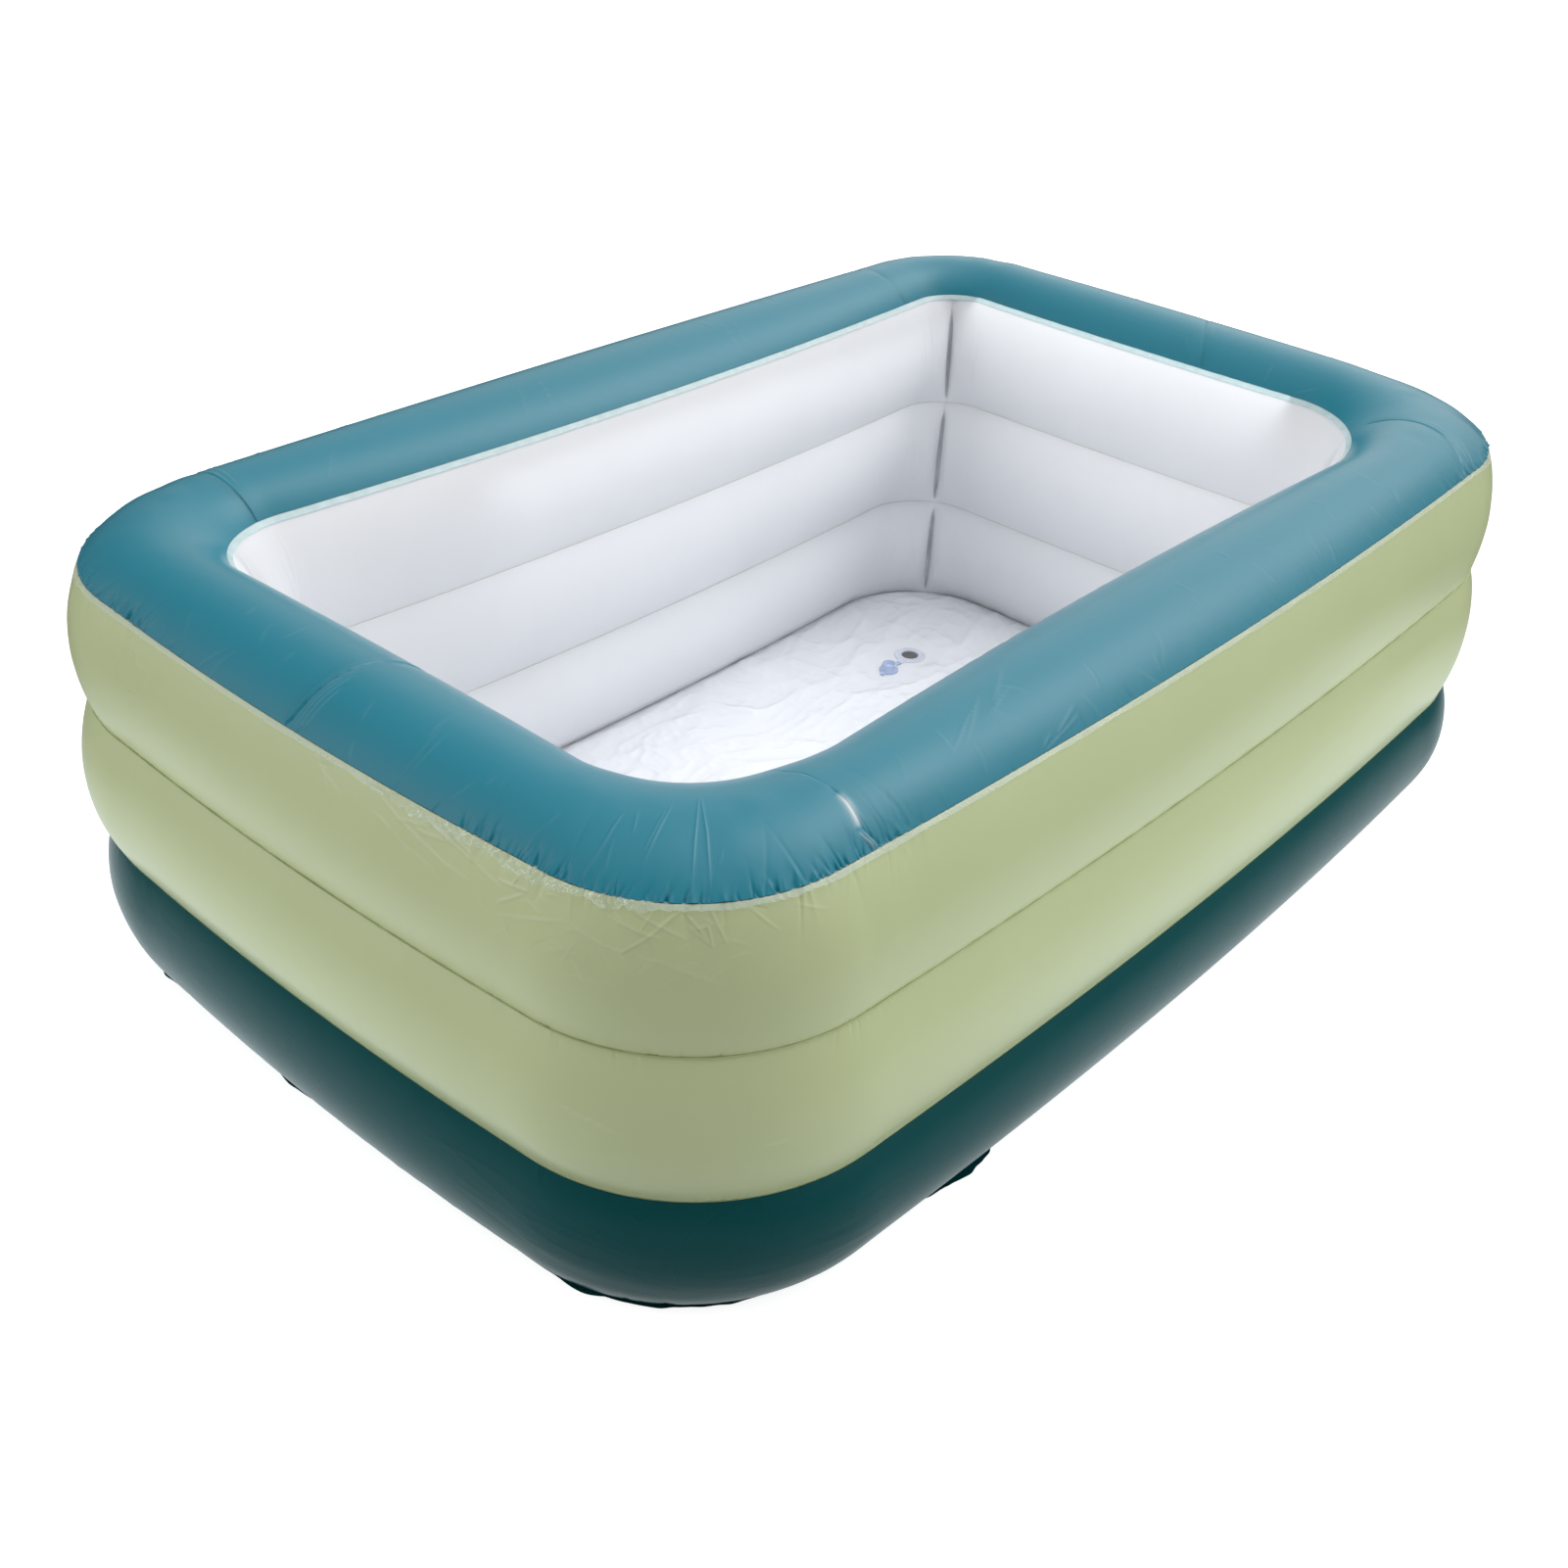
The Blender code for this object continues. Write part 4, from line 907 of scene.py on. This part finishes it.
def cross_weld(relief, kind, name, spots, side, strength=1.0, arcs_beside=WELD_ARCS, pale=0.07,
               lap=0.0, painted_shade=0.4):
    """A weld across the rim: a sunk line darkened with painted shade, more faintly across the dip
    round it, with arcs beside it that are paler as painted highlights.
    """
    line = [(relief.place(kind, name, share), across * relief.width) for share, across in spots]
    relief.fold(line, WELD_WIDTH, -WELD_DEPTH * strength, WELD_TAPER, LAP_REACH * lap, -painted_shade)
    relief.fold(line, DIP_WIDTH, -DIP_DEPTH * strength, DIP_TAPER, pale=-painted_shade / 3)
    for gap, share, height in arcs_beside:
        count = max(2, int(len(line) * share + 0.5))
        beside = [(u + side * gap * (1 - 0.5 * index / len(line)), v)
                  for index, (u, v) in enumerate(line[:count])]
        relief.fold(beside, ARC_WIDTH, height * strength, pale=pale)


def rim():
    """The teal rim as six panels, with cross welds and puckers along the outer seam."""
    base = RIM_Z + WELD_STACK + SHEET_THICKNESS / 2
    up = np.tile((0.0, 0.0, 1.0), (RIM.count, 1))
    outer = RIM.outer((0, 0, RIM_CORNER_RADIUS))
    grid = arcs(at_height(outer, base), at_height(rim_inner_line(RIM), base), RIM_CROWN, up,
                edge_shares(RIM_TOP_ROWS))
    relief = Relief(grid, RIM)
    crease_sheet(relief, **RIM_CREASES)
    weld_rim(relief)
    points = relief.displaced()
    welds = [int(round(column)) for column in (
        RIM.at("side", "left", 0.5) - RIM.count, RIM.at("side", "front", 0.0),
        RIM.at("corner", "right", FIRST_RAY_SHARE), RIM.at("side", "right", 0.5),
        RIM.at("corner", "back", 1 - FIRST_RAY_SHARE), RIM.at("side", "back", 1.0),
        RIM.at("side", "left", 0.5))]
    names = ("front_corner_rim_panel", "front_rim_panel", "right_corner_rim_panel",
             "back_corner_rim_panel", "back_rim_panel", "left_corner_rim_panel")
    for name, first, last in zip(names, welds, welds[1:]):
        columns = np.arange(first, last + 1) % RIM.count
        piece = grid_mesh(name + "_vinyl", points[columns], False, TEAL,
                          pale=relief.pale[columns])
        dress(piece, "root", "teal_vinyl", name)


def weld_rim(relief):
    """The cross welds, and the glare beside the front one, a painted highlight along raised folds."""
    cross_weld(relief, "side", "left", LEFT_WELD_SHARES, 1, 2.0, lap=2.0, painted_shade=0.55)
    # The front weld's arcs are paler as a painted glare
    cross_weld(relief, "corner", "front", FRONT_WELD_SHARES, -1, 1.3, GLARE_ARCS, 0.30)
    hand_folds(relief, "corner", "front", FAINT_WELD_SHARES, 0.0016, -0.0006)
    hand_folds(relief, "corner", "front", GLARE_SHARES, 0.0034, 0.0014, 0.95)
    cross_weld(relief, "corner", "right", RIGHT_WELD_SHARES, 1, 1.2)
    cross_weld(relief, "side", "right", FAR_WELD_SHARES, -1, 0.8)
    cross_weld(relief, "side", "back", BACK_WELD_SHARES, 1, 0.8)
    cross_weld(relief, "corner", "left", BACK_LEFT_WELD_SHARES, -1, 1.2, painted_shade=0.7)


# The clear strip: its width and what is added where it is flat or crumpled, how loose it is along
# the sides, at the corners, crumpled and flat, its ripples and its droop. Waves are (length, size)
STRIP_START, STRIP_WIDTH, ADDED_WIDTH, WIDTH_WAVE = -0.003, 0.009, 0.005, 0.03
LOOSE_ALONG, LOOSE_AT_CORNERS, LOOSE_CRUMPLED, TIGHT_FLAT = 0.25, 0.6, 1.6, 0.2
RIPPLES = ((0.005, 0.0018, 3), (0.017, 0.0012, 5))
DROOP, DROOP_WAVE, CRUMPLED_DROOP, FLAT_DROOP = 0.004, (0.05, 0.0015), 0.003, 0.004
DROOP_START, DROOP_CURVE, RIPPLE_CURVE = 0.25, 1.4, 1.1
FLAT_FADE, CRUMPLED_FADE = 0.02, 0.08

# The pale strip inside
INNER_STRIP_START, INNER_STRIP_WIDTH, INNER_STRIP_WAVE = 0.002, -0.0095, (0.012, 0.0006)
INNER_DROOP, INNER_DROOP_START = 0.0065, 0.2
RIBBON_ROWS = 11


def ribbon(name, line, start, width, lift, material, node, flip=False, loose=None):
    """A narrow strip outward from a weld line: its width, and its height by share and column."""
    rows = []
    for share in np.linspace(0, 1, RIBBON_ROWS):
        row = at_height(line, RIM_Z, start + width * share)
        row[:, 2] += lift(share)
        rows.append(row)
    loose = None if loose is None else np.tile(loose[:, None], (1, len(rows)))
    piece = grid_mesh(name, np.stack(rows, 1), True, material, flip, loose)
    dress(piece, "root", "clear_vinyl", node)


def side_window(around, length, start, end, fade):
    """1 between two places round a line and 0 outside, with soft ends."""
    half = (end - start) / 2
    offset = (around - start - half + length / 2) % length - length / 2
    return smooth_step((half + fade / 2 - np.abs(offset)) / fade)


def weld_strips():
    """The clear strip that hangs from the rim's outer seam, and the pale one inside.

    It lies flat and wide along the front side, and is crumpled beside the front corner.
    """
    line = RIM.outer((0, 0, RIM_CORNER_RADIUS))
    around, length = girth(line)
    front = [np.interp(RIM.at(*place), np.arange(RIM.count), around)
             for place in FLAT_STRIP_SHARES]
    flat = side_window(around, length, *front, FLAT_FADE)
    loose = [np.interp(RIM.at(*place), np.arange(RIM.count), around) for place in LOOSE_STRIP_SHARES]
    crumpled = side_window(around, length, *loose, CRUMPLED_FADE)
    uneven = 1 + lattice_noise(around / WIDTH_WAVE, 0, 8)
    width = STRIP_WIDTH + ADDED_WIDTH * flat + ADDED_WIDTH * crumpled * uneven
    looseness = (LOOSE_ALONG + LOOSE_AT_CORNERS * np.clip(3 * RIM.folds, 0, 1)
                 + LOOSE_CRUMPLED * crumpled - TIGHT_FLAT * flat)
    ripple = looseness * sum(size * lattice_noise(around / step, 0, seed)
                             for step, size, seed in RIPPLES)
    droop = (DROOP + DROOP_WAVE[1] * lattice_noise(around / DROOP_WAVE[0], 0, 4)
             + CRUMPLED_DROOP * crumpled + FLAT_DROOP * flat)

    def hang(share):
        out = max(0.0, share - DROOP_START) / (1 - DROOP_START)
        return -droop * out ** DROOP_CURVE + ripple * out ** RIPPLE_CURVE

    ribbon("outer_rim_weld_strip_film", line, STRIP_START, width, hang, CLEAR,
           "outer_rim_weld_strip", loose=crumpled)
    inner = rim_inner_line(RIM)
    around = girth(inner)[0]
    wave = INNER_STRIP_WAVE[1] * lattice_noise(around / INNER_STRIP_WAVE[0], 0, 6)

    def sink(share):
        out = max(0, share - INNER_DROOP_START)
        return wave * share - INNER_DROOP * out / (1 - INNER_DROOP_START)

    ribbon("inner_rim_weld_strip_film", inner, INNER_STRIP_START, INNER_STRIP_WIDTH, sink,
           PALE_BLUE, "inner_rim_weld_strip", True)


# Partitions: the welds they join, their heights, seeds and flanges, and where their rows lie
PARTITIONS = {
    "upper_partition_sheet": (UPPER_OUTER, UPPER_INNER_WELD, UPPER_CREASE_Z, 51, 0.0012),
    "lower_partition_sheet": (LOWER_OUTER, LOWER_INNER_WELD, LOWER_CREASE_Z, 52, 0.0004)}
FLANGE_WAVE = 0.012
PARTITION_OVERLAP = 0.0006
PARTITION_OUTSETS = (-0.020, -0.004, 0.0)


def partitions():
    """The partition sheets, whose outer edges are the puckered flanges in the outer creases."""
    for name, (outer, inner_sizes, height, seed, edge) in PARTITIONS.items():
        inner = OUTER.inner(inner_sizes)
        around = girth(outer)[0]
        wave = lattice_noise(around / FLANGE_WAVE, 0, seed)
        rows = [at_height(inner, height, -PARTITION_OVERLAP)]
        for outset in (*PARTITION_OUTSETS, edge, 2 * edge):
            row = at_height(outer, height, outset + (edge / 2 * wave if outset > 0 else 0))
            row[:, 2] += edge / 2 * wave * (outset > 0)
            rows.append(row)
        piece = grid_mesh(name + "_vinyl", np.stack(rows, 1), True, LIGHT_GREEN, True)
        dress(piece, "root", "light_green_vinyl", name)


# The base sheet's rows, and its skirt's waves, reach, lift and lumps
BASE_SHARES = (0.0, 0.25, 0.5, 0.75, 0.95)
SKIRT_ROWS = 9
SKIRT_WAVE, SKIRT_RUFFLE, SKIRT_CURL = 0.10, 0.017, 0.034
SKIRT_REACH, SKIRT_UNEVENNESS, SKIRT_LIFT, SKIRT_CURVE = 0.0015, 0.001, 0.0005, 1.3
LUMP_RUFFLE, LUMP_LIFT, LUMP_CURL = 0.3, 0.25, 0.2


def base():
    """The base sheet, open at the drain, with its ruffled skirt."""
    centre = np.array(DRAIN_PLACE)
    spoke = unit(BASE_OUTER - centre)
    mouth = centre + spoke * DRAIN_BORE_RADIUS
    around, length = girth(BASE_OUTER)
    wave, ruffle, curl = [lattice_noise(around / size, 0, seed)
                          for size, seed in ((SKIRT_WAVE, 11), (SKIRT_RUFFLE, 12),
                                             (SKIRT_CURL, 13))]
    lumps = np.zeros(len(around))
    for kind, name, share, before, after, reach in SKIRT_LUMPS_SHARES:
        middle = np.interp(OUTER.at(kind, name, share), np.arange(OUTER.count), around)
        offset = (around - middle + length / 2) % length - length / 2
        run = np.where(offset < 0, before, after)
        lumps = np.maximum(lumps, reach * smooth_step(1 - np.abs(offset) / run))
    reach = SKIRT_REACH + SKIRT_UNEVENNESS * wave + lumps * (1 + LUMP_RUFFLE * ruffle)
    lift = SKIRT_LIFT * (1 + ruffle) + lumps * (LUMP_LIFT + LUMP_CURL * curl)
    rows = []
    for share in BASE_SHARES:
        flat = mouth + (BASE_OUTER - mouth) * share
        rows.append(np.column_stack((flat, np.full(len(flat), BASE_TOP))))
    for step in np.linspace(0, 1, SKIRT_ROWS):
        row = at_height(BASE_OUTER, BASE_TOP, step * reach)
        row[:, 2] += step ** SKIRT_CURVE * lift
        rows.append(row)
    piece = grid_mesh("base_sheet_vinyl", np.stack(rows, 1), True, DARK_GREEN, True)
    dress(piece, "root", "dark_green_vinyl", "base_sheet")


def distance_to(x, y, line):
    """Signed distance to a closed line, negative inside."""
    edge = np.roll(line, -1, 0) - line
    best = np.full(x.shape, np.inf)
    inside = np.zeros(x.shape, bool)
    for (px, py), (ex, ey) in zip(line, edge):
        rx, ry = x - px, y - py
        share = np.clip((rx * ex + ry * ey) / (ex * ex + ey * ey), 0, 1)
        best = np.minimum(best, np.hypot(rx - share * ex, ry - share * ey))
        if ey:
            crosses = (y < py) != (y < py + ey)
            inside ^= crosses & (x < px + (y - py) * ex / ey)
    return np.where(inside, -best, best)


# The floor sheet's grid, how far it is tucked under the wall, the warp of its folds, the folds as
# (size, height, seed), its random creases as (least, most), and where it lies calm
FLOOR_SPACING, FLOOR_TUCK = 0.0045, 0.004
FLOOR_WARP, WARP_SIZE, WARP_SEEDS = 0.05, 0.16, (21, 22)
FLOOR_FOLDS = ((0.22, 0.0040, 23), (0.10, 0.0034, 24), (0.05, 0.0024, 25), (0.024, 0.0012, 26))
FOLD_SQUASH = 0.6
FLOOR_CREASE_COUNT, FLOOR_CREASE_REACH = 110, 0.09
FLOOR_CREASE_LENGTHS = (0.03, 0.14)
FLOOR_CREASE_BENDS = (-0.1, 0.1)
FLOOR_CREASE_WIDTHS = (0.003, 0.005)
FLOOR_CREASE_HEIGHTS = (0.0005, 0.0012)
CALM_REACH, CALM_EDGE = 0.03, 0.02


def floor():
    """The floor sheet: low wandering folds and crumples in a loose white film."""
    outline = FLOOR_INNER[::6]
    outline = outline + outward(outline) * FLOOR_TUCK
    half_x, half_y = np.abs(outline).max(0) + FLOOR_SPACING
    xs = np.arange(-half_x, half_x + FLOOR_SPACING, FLOOR_SPACING)
    ys = np.arange(-half_y, half_y + FLOOR_SPACING, FLOOR_SPACING)
    x, y = np.meshgrid(xs, ys, indexing="ij")
    warp_x, warp_y = [line + FLOOR_WARP * lattice_noise(x / WARP_SIZE, y / WARP_SIZE, seed)
                      for line, seed in zip((x, y), WARP_SEEDS)]
    height = np.zeros(x.shape)
    for size, most, seed in FLOOR_FOLDS:
        value = lattice_noise(warp_x / size, warp_y / (size * FOLD_SQUASH), seed)
        height += most * (1 - np.abs(value)) ** 3
    rng = np.random.default_rng(SEED + 9)
    for _ in range(FLOOR_CREASE_COUNT):
        start = np.array((rng.uniform(-half_x, half_x), rng.uniform(-half_y, half_y)))
        angle = rng.uniform(0, math.pi)
        end = start + rng.uniform(*FLOOR_CREASE_LENGTHS) * np.array((math.cos(angle),
                                                                     math.sin(angle)))
        near = ((np.abs(x - (start[0] + end[0]) / 2) < FLOOR_CREASE_REACH)
                & (np.abs(y - (start[1] + end[1]) / 2) < FLOOR_CREASE_REACH))
        line = bowed(start, end, rng.uniform(*FLOOR_CREASE_BENDS))
        height[near] += fold_height(x[near], y[near], line, rng.uniform(*FLOOR_CREASE_WIDTHS),
                                    rng.uniform(*FLOOR_CREASE_HEIGHTS))
    from_drain, from_stopper = [np.hypot(x - place_x, y - place_y)
                                for place_x, place_y in (DRAIN_PLACE, STOPPER_PLACE)]
    calm = smooth_step((from_drain - DRAIN_CLEAR_RADIUS) / CALM_REACH)
    calm *= smooth_step((from_stopper - DRAIN_CLEAR_RADIUS) / CALM_REACH)
    distance = distance_to(x, y, outline)
    calm *= smooth_step(-distance / CALM_EDGE)
    z = FLOOR_TOP + height * calm
    index = np.arange(x.size).reshape(x.shape)
    quads = np.stack((index[:-1, :-1], index[1:, :-1], index[1:, 1:], index[:-1, 1:]), -1)
    quads = quads.reshape(-1, 4)
    kept = distance.ravel()[quads].mean(1) < 0
    kept &= from_drain.ravel()[quads].mean(1) > (DRAIN_BORE_RADIUS + DRAIN_FLANGE_RADIUS) / 2
    points = np.column_stack((x.ravel(), y.ravel(), z.ravel()))
    quads = quads[kept]
    used = np.unique(quads)
    renumber = np.full(len(points), -1)
    renumber[used] = np.arange(len(used))
    piece = face_mesh("floor_sheet_vinyl", points[used], renumber[quads], FLOOR_WHITE)
    dress(piece, "root", "floor_vinyl", "floor_sheet")


# Camera: azimuth, elevation and roll in degrees, then distance and shift to the right and up
CAMERA_ANGLES = (-50.5344, 32.6078, 3.7086)
CAMERA_DISTANCE = 3.0791
CAMERA_SHIFT = (-0.0837, 0.0577)
IMAGE_PIXELS = 1601
FOCAL_PIXELS = 1907.5


def camera():
    """The photograph's viewpoint, solved from the weld lines."""
    azimuth, elevation, roll = map(math.radians, CAMERA_ANGLES)
    back = Vector((math.sin(azimuth) * math.cos(elevation),
                   -math.cos(azimuth) * math.cos(elevation), math.sin(elevation)))
    right = (-back).cross(Vector((0, 0, 1))).normalized()
    up = right.cross(-back)
    rolled_right = right * math.cos(roll) + up * math.sin(roll)
    rolled_up = up * math.cos(roll) - right * math.sin(roll)
    data = bpy.data.cameras.new("camera")
    data.sensor_fit = "HORIZONTAL"
    data.sensor_width = 36.0
    data.lens = FOCAL_PIXELS / IMAGE_PIXELS * data.sensor_width
    data.clip_end = 60.0
    item = bpy.data.objects.new("camera", data)
    turn = Matrix((rolled_right, rolled_up, back)).transposed().to_4x4()
    place = back * CAMERA_DISTANCE + right * CAMERA_SHIFT[0] + up * CAMERA_SHIFT[1]
    item.matrix_world = Matrix.Translation(place) @ turn
    bpy.context.scene.collection.objects.link(item)
    bpy.context.scene.camera = item


def softbox(name, place, target, size, power, spread=180):
    data = bpy.data.lights.new(name, "AREA")
    data.shape = "RECTANGLE"
    data.size, data.size_y = size
    data.energy = power
    data.spread = math.radians(spread)
    data.color = DAYLIGHT
    item = bpy.data.objects.new(name, data)
    item.location = place
    item.rotation_euler = (Vector(target) - Vector(place)).to_track_quat("-Z", "Y").to_euler()
    item.visible_camera = False
    item.visible_glossy = False
    bpy.context.scene.collection.objects.link(item)


# The studio floor: its size, its grey and its glow, each as lit and as glossy surfaces mirror it,
# how white the camera sees it, and how the mirrored glow fades with the distance from the pool
FLOOR_REACH = 15.0
FLOOR_ROUGHNESS = 0.9
FLOOR_GREYS = ((0.60, 0.60, 0.60), (0.06, 0.06, 0.06))
FLOOR_GLOW_COLOURS = ((1, 1, 1), (0.88, 0.97, 1.0))
SEEN_FLOOR = 0.82
MIRRORED_FLOOR = 0.95
MIRRORED_REACH = 0.90
POOL_EDGES = {"X": 1.0, "Y": 0.64}
DIM_PLACE = (-1.25, -0.90, 0)
DIM_REACH = (0.2, 1.1)
DIM_SHARES = (0.45, 1.0)

# How far from the drain's middle the floor seen through it stays without glow, and darkened as
# painted shade
UNLIT_REACH = (0.05, 0.12)
SHADED_REACH = (0.04, 0.12)
SHADED_SHARES = (0.25, 1)

# Lights: the softbox over the basin, and the glows from the floor beside the walls
DAYLIGHT = (0.94, 0.97, 1.0)
BASIN_LIGHT_PLACE = (0.24, 0.07)
BASIN_LIGHT_HEIGHT = 0.605
BASIN_LIGHT_SIZE = (1.20, 0.66)
BASIN_LIGHT_POWER = 1.44
BASIN_LIGHT_SPREAD = 120
GLOW_HEIGHT = 0.003
GLOW_SHARES = (1.0, 0.7, 0.4)
FLOOR_GLOWS = {"left": ((-1.55, 0.55), (1.1, 1.7), 4.0), "right": ((0.50, -1.40), (1.9, 1.1), 6.5)}


def stage():
    """A white floor, without its glow under the drain and darkened there as painted shade."""
    material, graph, shader, place = new_material("studio_floor")
    rays = {name: graph.node("LightPath", f"Is {name} Ray")
            for name in ("Camera", "Glossy", "Transmission")}
    gaps = []
    for axis, edge in POOL_EDGES.items():
        across = graph.node("SeparateXYZ", axis, {"Vector": place})
        gaps.append(graph.math("SUBTRACT", graph.math("ABSOLUTE", across), edge))
    mirrored = graph.ranged(graph.math("MAXIMUM", *gaps), (0.0, MIRRORED_REACH),
                            (MIRRORED_FLOOR, 0.0), "SMOOTHSTEP")
    dimmed = graph.ranged(graph.distance(place, DIM_PLACE), DIM_REACH, DIM_SHARES)
    mirrored = graph.math("MULTIPLY", mirrored, dimmed)
    glow = graph.ranged(rays["Camera"], (0, 1), (0, SEEN_FLOOR))
    for name in ("Glossy", "Transmission"):
        glow = graph.math("MULTIPLY_ADD", rays[name], mirrored, glow)
    from_drain = graph.distance(place, (*DRAIN_PLACE, 0))
    grey = graph.mixed(rays["Glossy"], *FLOOR_GREYS)
    graph.feed(shader, {
        # Painted shade on the floor under the drain
        "Base Color": graph.scaled(grey, graph.ranged(from_drain, SHADED_REACH, SHADED_SHARES)),
        "Emission Color": graph.mixed(rays["Glossy"], *FLOOR_GLOW_COLOURS),
        "Emission Strength": graph.math("MULTIPLY", glow,
                                        graph.ranged(from_drain, UNLIT_REACH, (0, 1))),
        "Roughness": FLOOR_ROUGHNESS, "Specular IOR Level": 0.0})
    corners = [(x * FLOOR_REACH, y * FLOOR_REACH, 0)
               for x, y in ((-1, -1), (1, -1), (1, 1), (-1, 1))]
    face_mesh("studio_floor", corners, np.array([[0, 1, 2, 3]]), material)


def lights():
    """A softbox over the basin, and beside two walls three sheets, one within the other."""
    softbox("basin_softbox", (*BASIN_LIGHT_PLACE, BASIN_LIGHT_HEIGHT), (*BASIN_LIGHT_PLACE, 0),
            BASIN_LIGHT_SIZE, BASIN_LIGHT_POWER, BASIN_LIGHT_SPREAD)
    for name, (place, size, power) in FLOOR_GLOWS.items():
        for index, share in enumerate(GLOW_SHARES):
            softbox(f"{name}_glow_{index}", (*place, GLOW_HEIGHT), (*place, 1.0),
                    (size[0] * share, size[1] * share), power * share * share / 2)


# The studio's light by direction: each glow has an axis, how strongly it lights, how strongly
# glossy surfaces mirror it, and a sharpness
GLOWS = (((0.65, -0.20, 0.74), 2.6, 2.7, 16), ((0.48, -0.77, 0.40), 2.6, 0.50, 10),
         ((-0.70, 0.62, 0.34), 3.3, 0.60, 10), ((0.15, 0.0, 0.99), 1.0, 1.0, 5),
         ((0.86, 0.38, 0.38), 0.40, 1.10, 6))
DIM_LIGHT = 0.12


def studio_light():
    """A wide soft glow from each side and from above, on a backdrop that the camera sees white."""
    world = bpy.data.worlds.new("studio")
    bpy.context.scene.world = world
    world.use_nodes = True
    graph = Graph(world.node_tree)
    direction = graph.node("TexCoord", "Generated")
    glossy = graph.node("LightPath", "Is Glossy Ray")
    light = DIM_LIGHT
    for axis, lit, mirrored, sharpness in GLOWS:
        towards = graph.node("VectorMath", "Value",
                             {0: direction, 1: Vector(axis).normalized()},
                             operation="DOT_PRODUCT")
        glow = graph.math("POWER", graph.math("MAXIMUM", towards, 0.0), sharpness)
        strength = graph.ranged(glossy, (0, 1), (lit, mirrored))
        light = graph.math("ADD", graph.math("MULTIPLY", glow, strength), light)
    seen = graph.node("Mix", "Result", {"Factor": graph.node("LightPath", "Is Camera Ray"),
                                        "A": light, "B": 1.0})
    graph.feed(graph.nodes["Background"], {"Color": (1, 1, 1, 1), "Strength": seen})


outer_wall("bottom_ring_outer_wall", BASE_OUTER, BASE_TOP + SEAM_GAP, LOWER_OUTER,
           LOWER_CREASE_Z - WELD_STACK, BOTTOM_BULGE, BOTTOM_ROWS, DARK_GREEN, "dark_green_vinyl",
           BOTTOM_RING_CREASES)
outer_wall("middle_ring_outer_wall", LOWER_OUTER, LOWER_CREASE_Z + WELD_STACK, UPPER_OUTER,
           UPPER_CREASE_Z - WELD_STACK, MIDDLE_BULGE, MIDDLE_ROWS, LIGHT_GREEN, "light_green_vinyl",
           MIDDLE_RING_CREASES)
outer_wall("top_ring_outer_wall", UPPER_OUTER, UPPER_CREASE_Z + WELD_STACK, RIM_OUTER,
           RIM_Z - WELD_STACK, TOP_BULGE, TOP_ROWS, LIGHT_GREEN, "light_green_vinyl",
           TOP_RING_CREASES)
basin_wall("bottom_ring_basin_wall", FLOOR_INNER, FLOOR_TOP + SEAM_GAP, LOWER_INNER,
           LOWER_CREASE_Z, SEED + 4, BOTTOM_SLITS)
basin_wall("middle_ring_basin_wall", LOWER_INNER, LOWER_CREASE_Z, UPPER_INNER,
           UPPER_CREASE_Z, SEED + 5, MIDDLE_SLITS)
basin_wall("top_ring_basin_wall", UPPER_INNER, UPPER_CREASE_Z, rim_inner_line(BASIN),
           RIM_Z - WELD_STACK, SEED + 6, TOP_SLITS)
rim()
weld_strips()
partitions()
base()
floor()
camera()
stage()
lights()
studio_light()

for node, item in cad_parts.items():
    if not item.hide_render:
        item.data.materials.clear()
        plastic = SEAT_PLASTIC if node == "drain_seat" else VALVE_PLASTIC
        item.data.materials.append(STOPPER_PLASTIC if node == "drain_stopper" else plastic)

bpy.context.scene.view_settings.view_transform = "Standard"
